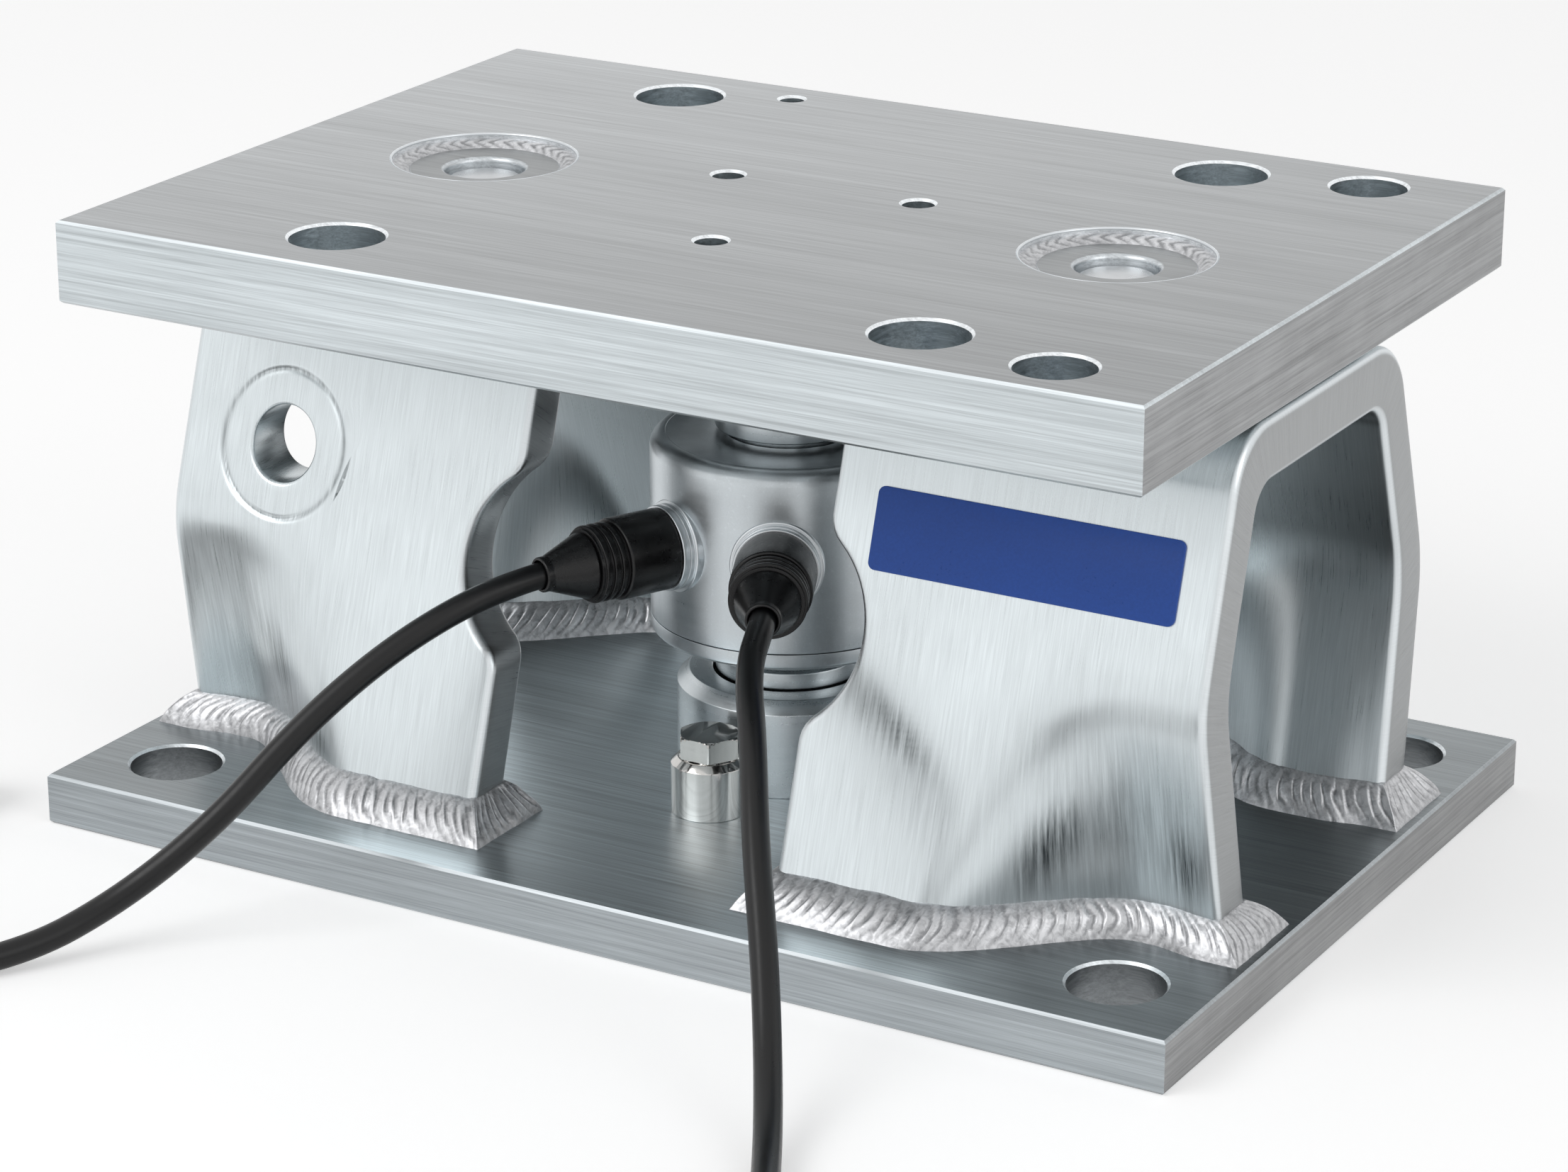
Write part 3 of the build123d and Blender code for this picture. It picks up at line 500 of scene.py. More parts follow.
def bent(u, soft):
    """Ramp that is 0 below -soft, u above soft, and a parabola between."""
    return np.where(u <= -soft, 0.0, np.where(u >= soft, u, (u + soft) ** 2 / (4 * soft)))


def rounded(corners, closed, steps=5):
    """Profile through corners given as (radius from the axis, height, rounding)."""
    line = []
    for i, (r, z, fillet) in enumerate(corners):
        here = np.array([r, z])
        if fillet == 0 or (not closed and i in (0, len(corners) - 1)):
            line.append(here)
            continue
        before = np.array(corners[i - 1][:2]) - here
        after = np.array(corners[(i + 1) % len(corners)][:2]) - here
        a = before / np.linalg.norm(before)
        b = after / np.linalg.norm(after)
        half = math.acos(np.clip(a @ b, -1, 1)) / 2
        middle = here + (a + b) / np.linalg.norm(a + b) * fillet / math.sin(half)
        first = here + a * fillet / math.tan(half) - middle
        last = here + b * fillet / math.tan(half) - middle
        sweep = math.pi - 2 * half
        for k in range(steps + 1):
            t = k / steps
            turned = math.sin((1 - t) * sweep) * first + math.sin(t * sweep) * last
            line.append(middle + turned / math.sin(sweep))
    return np.array(line)


def divided(line, longest, closed):
    """Line with extra points so that no run is longer than asked."""
    result = []
    ends = len(line) if closed else len(line) - 1
    for i in range(ends):
        a = line[i]
        b = line[(i + 1) % len(line)]
        count = max(1, math.ceil(np.linalg.norm(b - a) / longest))
        for k in range(count):
            result.append(a + (b - a) * k / count)
    if not closed:
        result.append(line[-1])
    return np.array(result)


def lathe(name, corners, body, slot, material, nodes=(), origin=(0, 0, 0), axis=(0, 0, 1), sides=128,
          sharp=40.0, longest=6.0):
    """Profile carried round an axis: place = origin + axis * height + side(angle) * radius.
    A profile that starts and ends on the axis is a solid, and any other is closed as a ring."""
    solid = corners[0][0] == 0 and corners[-1][0] == 0
    line = divided(rounded(corners, closed=not solid), longest, closed=not solid)
    axis = np.array(axis, float) / np.linalg.norm(axis)
    other = np.array([0.0, 1.0, 0.0]) if abs(axis[2]) > 0.5 else np.array([0.0, 0.0, 1.0])
    side_a = other - axis * (other @ axis)
    side_a /= np.linalg.norm(side_a)
    side_b = np.cross(axis, side_a)
    angle = full_turn(sides)
    ring = np.cos(angle)[:, None] * side_a + np.sin(angle)[:, None] * side_b
    run = run_along(line)
    core = line[1:-1] if solid else line
    core_run = run[1:-1] if solid else run
    points = np.array(origin) + core[:, 1][:, None, None] * axis + core[:, 0][:, None, None] * ring[None]
    grain = np.empty(points.shape)
    grain[..., 0] = core[:, 0][:, None] * np.cos(angle)[None]
    grain[..., 1] = core[:, 0][:, None] * np.sin(angle)[None]
    grain[..., 2] = core_run[:, None]
    shape = Shape()
    index = shape.add(points, grain=grain)
    shape.quads(index, close_rows=not solid, close_cols=True)
    if solid:
        for row, end, far in ((index[0], line[0], run[0]), (index[-1], line[-1], run[-1])):
            tip = shape.add((np.array(origin) + axis * end[1])[None], grain=np.array([[0, 0, far]]))[0]
            shape.faces.extend([[int(tip), int(a), int(b)] for a, b in zip(row, np.roll(row, -1))])
    return shape.build(name, body, slot, material, *nodes, sharp=sharp)


# Plug axes
PLUG_Z = 92.6


def plug_axis(turn):
    angle = math.radians(turn)
    return np.array([math.sin(angle), -math.cos(angle), 0.0])


def on_axis(turn, along):
    return plug_axis(turn) * along + np.array([0, 0, PLUG_Z])


# Cables
FLOOR_Z = 3.95
LAYER_Z = 12.35
COIL_INNER_R = 32.0
COIL_PITCH = 7.9
LEAD = 32.0
CABLE_R = 3.9
turns_of = {"left": -26.2, "right": 25.0}
routes = {
    "left": [(-51.8, -99.4, 87.7), (-66.6, -120.1, 75.5), (-80.7, -142.2, 57.7), (-93.2, -167.3, 34.6),
             (-113.1, -186.2, 14.2), (-128.5, -213.5, FLOOR_Z)],
    "right": [(45.9, -103.2, 87.7), (60.3, -124.6, 75.5), (73.9, -146.8, 57.7), (90.0, -169.4, 34.6),
              (104.3, -192.1, 14.2), (119.8, -219.4, FLOOR_Z)],
}
touches = {"left": np.array([-173.9, -277.8, FLOOR_Z]), "right": np.array([167.3, -309.4, FLOOR_Z])}
layer_turns = {"left": 3.75, "right": 3.625}
PER_TURN = 24
far_ends = {}


def coil_points(middle, inward, heading, turns, outer):
    """Two flat layers of one spiral: the radius falls by a pitch a turn, then grows again."""
    half = math.pi / PER_TURN
    turn = (np.arange(int(round(2 * turns * PER_TURN))) + 0.5) / PER_TURN
    radius = outer - COIL_PITCH * np.where(turn < turns, turn, 2 * turns - turn)
    rise = smooth((turn - turns + 0.25) / 0.5)
    angle = 2 * math.pi * turn
    flat = -inward[None] * np.cos(angle)[:, None] + heading[None] * np.sin(angle)[:, None]
    points = middle[None] + flat * (radius / math.cos(half))[:, None]
    points[:, 2] = FLOOR_Z + (LAYER_Z - FLOOR_Z) * rise
    return points


def cable_line(side):
    """Control points of one cable, from its boot to its far plug."""
    turn = turns_of[side]
    route = [np.array(p) for p in routes[side]]
    touch = touches[side]
    heading = (touch - route[-1]) / np.linalg.norm(touch - route[-1])
    inward = np.array([heading[1], -heading[0], 0.0])
    outer = COIL_INNER_R + COIL_PITCH * layer_turns[side]
    middle = np.array([touch[0], touch[1], 0.0]) + inward * outer
    wound = 4 * math.pi * layer_turns[side]
    leave = heading * math.sin(wound) - inward * math.cos(wound)
    onward = heading * math.cos(wound) + inward * math.sin(wound)
    tail_start = middle + leave * outer + np.array([0, 0, LAYER_Z]) + onward * LEAD
    far_tip = tail_start + onward * 20.0
    far_ends[side] = (far_tip, onward)
    points = [on_axis(turn, 82.0), on_axis(turn, 90.0), *route, touch - heading * LEAD,
              *coil_points(middle, inward, heading, layer_turns[side], outer), tail_start, far_tip,
              far_tip + onward * 5.0]
    return np.array(points)


def spline_places(name, points):
    """Places along the smooth line that a spline of these control points makes."""
    data = bpy.data.curves.new(name, "CURVE")
    data.dimensions = "3D"
    data.resolution_u = 10
    spline = data.splines.new("NURBS")
    spline.points.add(len(points) - 1)
    for target, source in zip(spline.points, points):
        target.co = (*(source * MM), 1.0)
    spline.order_u = 3
    spline.use_endpoint_u = True
    carrier = bpy.data.objects.new(name, data)
    scene.collection.objects.link(carrier)
    bpy.context.view_layer.update()
    mesh = bpy.data.meshes.new_from_object(carrier.evaluated_get(bpy.context.evaluated_depsgraph_get()))
    places = np.empty(len(mesh.vertices) * 3)
    mesh.vertices.foreach_get("co", places)
    bpy.data.meshes.remove(mesh)
    bpy.data.objects.remove(carrier)
    places = places.reshape(-1, 3)
    step = np.linalg.norm(np.diff(places, axis=0), axis=1)
    return places[np.concatenate([[True], step > 1e-6])]


def cable_tube(name, places, radius, sides=20):
    """Round tube along the places: each ring stands square to the line, turned on without twist."""
    places = places / MM
    tangent = np.gradient(places, axis=0)
    tangent /= np.linalg.norm(tangent, axis=1)[:, None]
    side = np.cross(tangent[0], [0, 0, 1.0])
    side /= np.linalg.norm(side)
    frames = []
    for t in tangent:
        side = side - t * (side @ t)
        side /= np.linalg.norm(side)
        frames.append(side)
    first = np.array(frames)
    second = np.cross(tangent, first)
    angle = full_turn(sides)
    ring = np.cos(angle)[None, :, None] * first[:, None] + np.sin(angle)[None, :, None] * second[:, None]
    shape = capped(places[:, None] + ring * radius)
    return shape.build(name, None, "cable_black", cable_black, sharp=60.0)


cables = {}
for side in ("left", "right"):
    places = spline_places(side + "_line", cable_line(side))
    tube = cable_tube(side + "_free_cable", places, CABLE_R)
    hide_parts(side + "_cable", side + "_coil", side + "_tail")
    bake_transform(tube)
    cables[side] = (tube, places)


# Plugs, boots and sockets
def plug_profile(back):
    """Plug along its own axis, where height 0 is its nose; back is the start of its body."""
    ribs = []
    for number in range(3):
        low = back + 18.5 + 2.75 * number
        ribs += [(10.8, low, 0.15), (11.6, low, 0.35), (11.6, low + 1.5, 0.35), (10.8, low + 1.5, 0.15)]
    return [(0, 0, 0), (8.9, 0, 0.3), (8.9, back, 0.1), (12.3, back, 0.6), (12.3, back + 17.3, 0.8),
            (10.8, back + 17.3, 0.1), *ribs, (10.8, back + 26.5, 0.1), (0, back + 26.5, 0)]


def boot_profile():
    """Tapered boot with a small collar at its tip and a bore for the cable."""
    return [(0, 0, 0), (10.15, 0, 0.7), (9.2, 2.6, 3.0), (5.25, 12.9, 2.0), (5.25, 15.3, 0.6),
            (4.25, 15.3, 0.3), (4.25, 8.3, 0), (0, 8.3, 0)]


for side in ("left", "right"):
    turn = turns_of[side]
    axis = plug_axis(turn)
    lathe(side + "_cell_socket",
          [(0, 34, 0), (12.9, 34, 0), (12.9, 37, 0), (14.0, 37, 0), (14.0, 41.9, 0.5), (12.9, 41.9, 0.1),
           (12.9, 43.1, 0.15), (12.45, 43.3, 0.1), (12.45, 43.8, 0.1), (12.9, 44.0, 0.15), (12.9, 45.6, 0.35),
           (9.0, 45.6, 0.3), (9.0, 37.2, 0), (0, 37.2, 0)],
          "load_cell", "socket_metal", socket_metal, [side + "_socket"], (0, 0, PLUG_Z), axis, sides=96)
    lathe(side + "_cell_plug", plug_profile(7.0), "load_cell", "plug_black", plug_black, [side + "_plug"],
          on_axis(turn, 38.7), axis, sides=96, sharp=50.0)
    lathe(side + "_cell_boot", boot_profile(), "load_cell", "plug_black", plug_black, [side + "_boot"],
          on_axis(turn, 72.2), axis, sides=96, sharp=50.0)
    tip, inward = far_ends[side]
    far_plug = lathe(side + "_end_plug", plug_profile(7.0), "base", "plug_black", plug_black,
                     [side + "_far_plug"], tip + inward * 48.8, -inward, sides=96, sharp=50.0)
    far_boot = lathe(side + "_end_boot", boot_profile(), "base", "plug_black", plug_black,
                     [side + "_far_boot"], tip + inward * 15.3, -inward, sides=96, sharp=50.0)
    tube, places = cables[side]


# Pedestals
LEAN_DEGREES = 17.4
LEAN = math.tan(math.radians(LEAN_DEGREES))
SIDE_GAP = 16.6 / math.cos(math.radians(LEAN_DEGREES))
WALL_THICK = 17.2
FOOT_HALF = 99.6
LOW_Z = BASE_TOP
KINK_Z = 88.0
ROOF_Z = 163.0
INNER_ROOF_Z = 144.5
ROUND = 2.4
WAIST_Z, WAIST_R, WAIST_DEEP, WAIST_EASE = 92.0, 30.0, 15.2, 10.0
NEAR_X, FAR_LOW_X, FAR_KINK_X = 51.3, 175.6, 173.3
POCKET_X, POCKET_END_X, POCKET_RAKE, POCKET_SLOPE, POCKET_SOFT = 92.0, 153.0, 0.33, 0.53, 10.0


def press_share(x, z, inside):
    """How far the wall is pressed in, from 0 to 1, along the pedestal."""
    back = inside * 0.42
    start = POCKET_X - back + POCKET_RAKE * (z - LOW_Z)
    share = smooth((x - start) / (POCKET_END_X - back - start))
    return share * (1 - 0.075 * smooth((x - 157.0) / 18.6))


def wall_y(x, z, inside):
    """Half width of the trough: a leaning wall, pressed in below the kink towards the far end."""
    deep = POCKET_SLOPE * bent(KINK_Z - z, POCKET_SOFT) * press_share(x, z, inside)
    return FOOT_HALF - LEAN * (z - LOW_Z) - deep - inside


def near_end(z):
    """End of the pedestal towards the cell: a straight end with a round waist, and an arc that
    eases one into the other where their circles touch."""
    both = WAIST_R + WAIST_EASE
    rise = math.sqrt(both ** 2 - (both - WAIST_DEEP) ** 2)
    meet = WAIST_R / both
    centre = NEAR_X + WAIST_DEEP - WAIST_R
    away = np.abs(z - WAIST_Z)
    waist = centre + np.sqrt(np.maximum(WAIST_R ** 2 - away ** 2, 0))
    ease = NEAR_X + WAIST_EASE - np.sqrt(np.maximum(WAIST_EASE ** 2 - (rise - away) ** 2, 0))
    return np.where(away < rise * meet, waist, np.where(away < rise, ease, NEAR_X))


def far_end(z):
    """End of the pedestal away from the cell: two straight slopes."""
    below = FAR_LOW_X - (FAR_LOW_X - FAR_KINK_X) * (z - LOW_Z) / (KINK_Z - LOW_Z)
    above = FAR_KINK_X - 1.1 * (z - KINK_Z) / (ROOF_Z - KINK_Z)
    return np.where(z < KINK_Z, below, above)


def section(roof, inside, radius, flat_count, bend_count, wall_count):
    """Half section across X at no press: parts (kind, y, z) from the middle of the roof to the foot."""
    corner = FOOT_HALF - inside - LEAN * (roof - LOW_Z)
    bend = math.radians(90 - LEAN_DEGREES)
    run = radius * math.tan(bend / 2)
    y_flat = np.linspace(0, corner - run, flat_count, endpoint=False)
    angle = np.linspace(0, bend, bend_count, endpoint=False)
    y_bend = corner - run + radius * np.sin(angle)
    z_bend = roof - radius + radius * np.cos(angle)
    z_wall = np.linspace(roof - run * math.sin(bend), LOW_Z, wall_count)
    y = np.concatenate([y_flat, y_bend, np.full(wall_count, np.nan)])
    z = np.concatenate([np.full(flat_count, roof), z_bend, z_wall])
    return y, z


FLAT, BEND, WALL = 10, 14, 72
outer_y, outer_z = section(ROOF_Z, 0.0, 22.0, FLAT, BEND, WALL)
inner_y, inner_z = section(INNER_ROOF_Z, SIDE_GAP, 11.0, FLAT, BEND, WALL)


def trough_points():
    """Half trough as rows down the section and columns round the cut. A share is the depth from the
    outer face to the inner one, from 0 to 1."""
    columns = []
    shares = []
    cuts = []
    outer_t = np.linspace(0, 1, 64)[1:-1]
    inner_t = np.linspace(1, 0, 40)[1:-1]
    thick = WALL_THICK
    corner = [(ROUND * (1 - math.sin(a)), ROUND * (1 - math.cos(a)) / thick, a / (math.pi / 2))
              for a in np.linspace(0, math.pi / 2, 7)]
    level = [(0.0, (ROUND + d * (thick - 2 * ROUND)) / thick, 1.0) for d in np.linspace(0, 1, 6)[1:-1]]
    across = [*corner, *level, *((off, 1 - share, cut) for off, share, cut in corner[::-1])]
    half = len(inner_t) - 2
    spec = [("mid", t, 1.0, 0.0) for t in inner_t[half:]]
    spec += [("near", *row) for row in across[::-1]]
    spec += [("mid", t, 0.0, 0.0) for t in outer_t]
    spec += [("far", *row) for row in across]
    spec += [("mid", t, 1.0, 0.0) for t in inner_t[:half]]
    for kind, value, share, cut in spec:
        z = outer_z * (1 - share) + inner_z * share
        near = near_end(z)
        far = far_end(z)
        slope = np.abs(near_end(z + 0.4) - near_end(z - 0.4)) / 0.8
        widen = np.sqrt(1 + np.minimum(slope, 3.0) ** 2)
        if kind == "near":
            x = near + value * widen
        elif kind == "far":
            x = far - value
        else:
            low = near + ROUND * widen
            x = low + (far - ROUND - low) * value
        y_out = np.where(np.isnan(outer_y), wall_y(x, outer_z, 0.0), outer_y)
        y_in = np.where(np.isnan(inner_y), wall_y(x, inner_z, SIDE_GAP), inner_y)
        columns.append(np.stack([x, y_out * (1 - share) + y_in * share, z], axis=-1))
        shares.append(share)
        cuts.append(cut)
    return np.stack(columns, axis=1), np.array(shares), np.array(cuts)


def zip_loops(shape, first, first_angle, second, second_angle):
    """Triangles between two closed loops round one centre, taken in the order of their angles."""
    def in_order(loop, angle):
        """Numbers and angles once round, and the first ones again a turn later."""
        angle = angle % (2 * math.pi)
        order = np.argsort(angle)
        order = np.append(order, order[0])
        angle = angle[order]
        angle[-1] += 2 * math.pi
        return [int(number) for number in loop[order]], angle

    first, first_angle = in_order(first, first_angle)
    second, second_angle = in_order(second, second_angle)
    n, m = len(first) - 1, len(second) - 1
    i = j = 0
    while i < n or j < m:
        if i < n and (j >= m or first_angle[i + 1] <= second_angle[j + 1]):
            shape.faces.append([first[i], first[i + 1], second[j]])
            i += 1
        else:
            shape.faces.append([first[i], second[j + 1], second[j]])
            j += 1


HOLE_SIDES = 120
# Centre and width of the painted shade along the tie holes' groove.
GROOVE_R, GROOVE_SOFT = 21.7, 0.75
hole_angle = full_turn(HOLE_SIDES)


def open_hole(shape, points, index, keep, grain, rows, cols, centre, axis, rings, surface):
    """Takes a block of faces out and fills it with rings down to a hole, and gives the hole's loop.
    Each ring is (radius, depth below the surface). Axis 2 is a hole across Y, and axis 1 one across Z."""
    r0, r1 = rows[0], rows[-1]
    c0, c1 = cols[0], cols[-1]
    keep[r0:r1, c0:c1] = False
    spots = [(r0, c) for c in range(c0, c1)] + [(r, c1) for r in range(r0, r1)]
    spots += [(r1, c) for c in range(c1, c0, -1)] + [(r, c0) for r in range(r1, r0, -1)]
    border = np.array([index[spot] for spot in spots])
    places = np.array([points[spot] for spot in spots])
    angle = np.arctan2(places[:, axis] - centre[1], places[:, 0] - centre[0])
    row_line = np.argsort(points[r0:r1 + 1, c0, axis])
    row_run = (points[r0:r1 + 1, c0, axis][row_line], grain[r0:r1 + 1, c0, 0][row_line])
    col_line = np.argsort(points[r0, c0:c1 + 1, 0])
    col_run = (points[r0, c0:c1 + 1, 0][col_line], grain[r0, c0:c1 + 1, 2][col_line])
    loops = []
    for radius, deep in rings:
        x = centre[0] + radius * np.cos(hole_angle)
        other = centre[1] + radius * np.sin(hole_angle)
        ring = np.zeros((HOLE_SIDES, 3))
        ring[:, 0] = x
        ring[:, axis] = other
        ring[:, 3 - axis] = surface(x, other, deep)
        own = np.full((HOLE_SIDES, 3), grain[r0, c0, 1])
        own[:, 0] = np.interp(other, *row_run)
        own[:, 2] = np.interp(x, *col_run)
        # Painted shade along the tie holes' groove, carried with the pockets' painted reflections.
        painted_groove_shade = 0.6 * math.exp(-((radius - GROOVE_R) / GROOVE_SOFT) ** 2)
        loops.append(shape.add(ring, grain=own, cut=0.0, press=painted_groove_shade, inner=own[:, 1] / WALL_THICK))
    zip_loops(shape, border, angle, loops[0], hole_angle)
    shape.quads(np.stack(loops), close_cols=True)
    return loops[-1]


# Spots where a darker reflection is painted on the pressed walls: (x, z, width, height, rake, strength).
right_painted_shade_spots = [(129.0, 43.0, 9.0, 12.0, 0.9, 1.0), (165.0, 41.0, 6.0, 13.0, 0.0, 1.0),
              (83.0, 70.0, 13.0, 5.0, -0.75, 0.8), (150.0, 52.0, 26.0, 26.0, 0.0, 0.38)]
left_painted_shade_spots = [(137.0, 46.0, 9.0, 14.0, 0.9, 0.75), (113.0, 30.0, 6.0, 11.0, 0.0, 0.65),
             (150.0, 52.0, 26.0, 26.0, 0.0, 0.25)]
TIE_X, TIE_Z, TIE_R = 136.1, 113.8, 11.2
STUD_HOLE_R, STUD_BLOCK = 15.0, 21.0
COINED = 0.44


def rounded_edge(radius, size, deep):
    """Rings of a hole's rounded edge: a quarter circle from its face, at a depth, into its bore."""
    return [(radius + size * (1 - math.sin(a)), deep + size * (1 - math.cos(a)))
            for a in np.linspace(0, math.pi / 2, 5)]


tie_outer_rings = [(24.8, 0.0), (23.6, 0.0), (23.1, 0.04), (22.6, 0.18), (22.2, 0.42), (21.8, 0.64),
                   (21.4, 0.72), (21.0, 0.68), (20.6, 0.56), (20.1, 0.46), (19.5, COINED), (17.0, COINED),
                   (14.0, COINED), *rounded_edge(TIE_R, 1.2, COINED)]
tie_inner_rings = [(18.0, 0.0), (14.0, 0.0), *rounded_edge(TIE_R, 1.0, 0.0)]
stud_rings = [(18.0, 0.0), *rounded_edge(STUD_HOLE_R, 0.6, 0.0)]


def block(points, cols, column_at, centre, reach, sign):
    """Rows and columns of the grid that stand for a square round a hole's centre in one wall."""
    rows = [r for r in range(len(points))
            if abs(points[r, column_at, 2] - centre[1]) < reach and points[r, column_at, 1] * sign > 0]
    row = rows[len(rows) // 2]
    cols = [c for c in cols if abs(points[row, c, 0] - centre[0]) < reach]
    return [rows[0] - 1] + rows + [rows[-1] + 1], sorted([min(cols) - 1] + cols + [max(cols) + 1])


def pedestal(name, sign, node, painted_shade_spots):
    """Trough: the half section's rows, mirrored across Y, with the feet closed by flat caps."""
    half, shares, cuts = trough_points()
    other = half[1:][::-1].copy()
    other[..., 1] *= -1
    points = np.concatenate([other, half], axis=0)
    grain = np.zeros(points.shape)
    grain[..., 0] = run_along(points[:, 60])[:, None]
    grain[..., 1] = WALL_THICK * shares[None]
    grain[..., 2] = points[..., 0]
    # Painted reflections: the spots below darken the outer walls, kept off the cut ends and the inside.
    press = np.zeros(points.shape[:2])
    for x, z, wide, tall, rake, much in painted_shade_spots:
        off = (points[..., 0] - x) / wide
        rise = (points[..., 2] - z - rake * (points[..., 0] - x)) / tall
        press = np.maximum(press, much * np.exp(-off ** 2 - rise ** 2))
    shape = Shape()
    press = press * (1 - cuts[None]) * (1 - shares[None])
    index = shape.add(points, grain=grain, cut=cuts[None], press=press, inner=shares[None])
    keep = np.ones((points.shape[0] - 1, points.shape[1]), bool)
    flat = np.flatnonzero(cuts == 0)
    outer_cols = [c for c in flat if shares[c] == 0]
    inner_cols = [c for c in flat if shares[c] == 1 and c > outer_cols[-1]]
    outer_mid, inner_mid = outer_cols[len(outer_cols) // 2], inner_cols[1]
    loops = []
    for cols, at, roof, turn in ((outer_cols, outer_mid, ROOF_Z, -1),
                                 (inner_cols, inner_mid, INNER_ROOF_Z, 1)):
        rows = [r for r in range(len(points))
                if abs(points[r, at, 2] - roof) < 0.01 and abs(points[r, at, 1]) < STUD_BLOCK]
        use = sorted(c for c in cols if abs(points[rows[0], c, 0] - BOSS_X) < STUD_BLOCK)
        loops.append(open_hole(shape, points, index, keep, grain, rows, use, (BOSS_X, 0.0), 1, stud_rings,
                               lambda x, y, deep, roof=roof, turn=turn: np.full(len(x), roof + turn * deep)))
    shape.quads(np.stack(loops), close_cols=True)
    if node == "left_pedestal":
        tie = (TIE_X, TIE_Z)
        for side in (1, -1):
            rows, cols = block(points, outer_cols, outer_mid, tie, 25.0, side)
            outside = open_hole(shape, points, index, keep, grain, rows, cols, tie, 2, tie_outer_rings,
                                lambda x, z, deep, side=side: side * (wall_y(x, z, 0.0) - deep))
            rows, cols = block(points, inner_cols, inner_mid, tie, 18.5, side)
            inside = open_hole(shape, points, index, keep, grain, rows, cols, tie, 2, tie_inner_rings,
                               lambda x, z, deep, side=side: side * (wall_y(x, z, SIDE_GAP) + deep))
            shape.quads(np.stack([outside, inside]), close_cols=True)
    shape.quads(index, close_cols=True, keep=keep)
    shape.cap(index[0])
    shape.cap(index[-1])
    for part in shape.points:
        part[:, 0] *= sign
    return shape.build(name, "base", "pressed_steel", pressed_steel, node, sharp=50.0)


pedestal("right_trough", 1, "right_pedestal", right_painted_shade_spots)
pedestal("left_trough", -1, "left_pedestal", left_painted_shade_spots)


# Weld beads
LEG = 8.9
CRESCENT_STEP = 3.8


def foot_corner_line(z, out, count):
    """Closed line round one wall's foot in plan, moved out by one amount, with pointed corners."""
    def along(start, end, inside, out):
        """Line along one face of the wall, and the corner that it ends in."""
        x = np.linspace(start, end, count[0], endpoint=False)
        slope = wall_y(x + 0.5, z, inside) - wall_y(x - 0.5, z, inside)
        line = np.stack([x, wall_y(x, z, inside) + out * np.sqrt(1 + slope ** 2)], axis=-1)
        return line, np.array([[end, wall_y(end, z, inside) + out]])

    low_x = float(near_end(np.array(z))) - out
    high_x = float(far_end(np.array(z))) + out
    outer, far_corner = along(low_x, high_x, 0.0, out)
    inner, near_corner = along(high_x, low_x, SIDE_GAP, -out)
    t = np.linspace(0, 1, count[1], endpoint=False)[:, None]
    far_side = far_corner * (1 - t) + inner[:1] * t
    near_side = near_corner * (1 - t) + outer[:1] * t
    return np.concatenate([outer, far_side, inner, near_side], axis=0)


def weld(name, body, points, ripples, node):
    """Weld from closed rows of points, with a ripple value for each of them."""
    shape = Shape()
    index = shape.add(points, ripple=np.stack(ripples))
    shape.quads(index, close_rows=True, close_cols=True)
    return shape.build(name, body, "weld_metal", weld_metal, node, sharp=75.0)


def bead(name, sign_x, sign_y, node, seed):
    """Fillet bead: across it the profile bulges, and along it crescents repeat at about one step."""
    rng = np.random.default_rng(seed)
    count = (440, 80)
    base = foot_corner_line(LOW_Z, LEG, count)
    wall = foot_corner_line(LOW_Z + LEG + 1.0, -0.5, count)
    run = run_along(base)
    tilt = math.radians(42)
    knots = np.linspace(0, run[-1], 90)
    wander = np.interp(run, knots, rng.normal(0, 1, len(knots)))
    wander = (wander + np.roll(wander, 4) + np.roll(wander, -4)) / 3
    pace = np.interp(run, knots, rng.normal(0, 1, len(knots))) * 0.7
    short = np.linspace(0, run[-1], 260)
    breaks = [np.interp(run, short, rng.normal(0, 1, len(short))) for _ in range(5)]
    swell = np.interp(run, knots, rng.uniform(0.5, 1.2, len(knots)))
    rows = []
    ripples = []
    for f in np.linspace(0, 1, 13):
        flat = base * (1 - f) + wall * f
        z = LOW_Z - 0.2 + (LEG + 1.2) * f
        crescent = 4.2 * (1 - (2 * f - 1) ** 2)
        low = int(min(f * 4, 3.999))
        jitter = breaks[low] * (1 - (f * 4 - low)) + breaks[low + 1] * (f * 4 - low)
        phase = (run - crescent) / CRESCENT_STEP * 2 * math.pi + pace + jitter * 0.9
        wave = (np.sin(phase) + 0.5 * np.sin(2 * phase + 0.9)) * swell
        body = math.sin(math.pi * f) ** 0.8
        bulge = 1.25 * body + wave * 0.20 * body + wander * 0.25 * (1 - abs(2 * f - 1) * 0.3)
        ripples.append(wave * body + 0.2)
        out = base - wall
        size = np.linalg.norm(out, axis=1)[:, None]
        push = out / size * math.cos(tilt)
        rows.append(np.concatenate([flat + push * bulge[:, None],
                                    (z + bulge * math.sin(tilt))[:, None]], axis=1))
    inner_top = foot_corner_line(LOW_Z + LEG + 1.0, -2.5, count)
    inner_low = foot_corner_line(LOW_Z, -2.5, count)
    rows.append(np.concatenate([inner_top, np.full((len(run), 1), LOW_Z + LEG)], axis=1))
    rows.append(np.concatenate([inner_low, np.full((len(run), 1), LOW_Z - 0.2)], axis=1))
    ripples += [np.zeros(len(run))] * 2
    points = np.stack(rows, axis=0)
    points[0, :, 2] = LOW_Z - 0.2
    weld(name, "base", points * np.array([sign_x, sign_y, 1.0]), ripples, node)


bead("right_rear_bead", 1, 1, "right_rear_weld", 3)
bead("right_front_bead", 1, -1, "right_front_weld", 5)
bead("left_rear_bead", -1, 1, "left_rear_weld", 7)
bead("left_front_bead", -1, -1, "left_front_weld", 11)


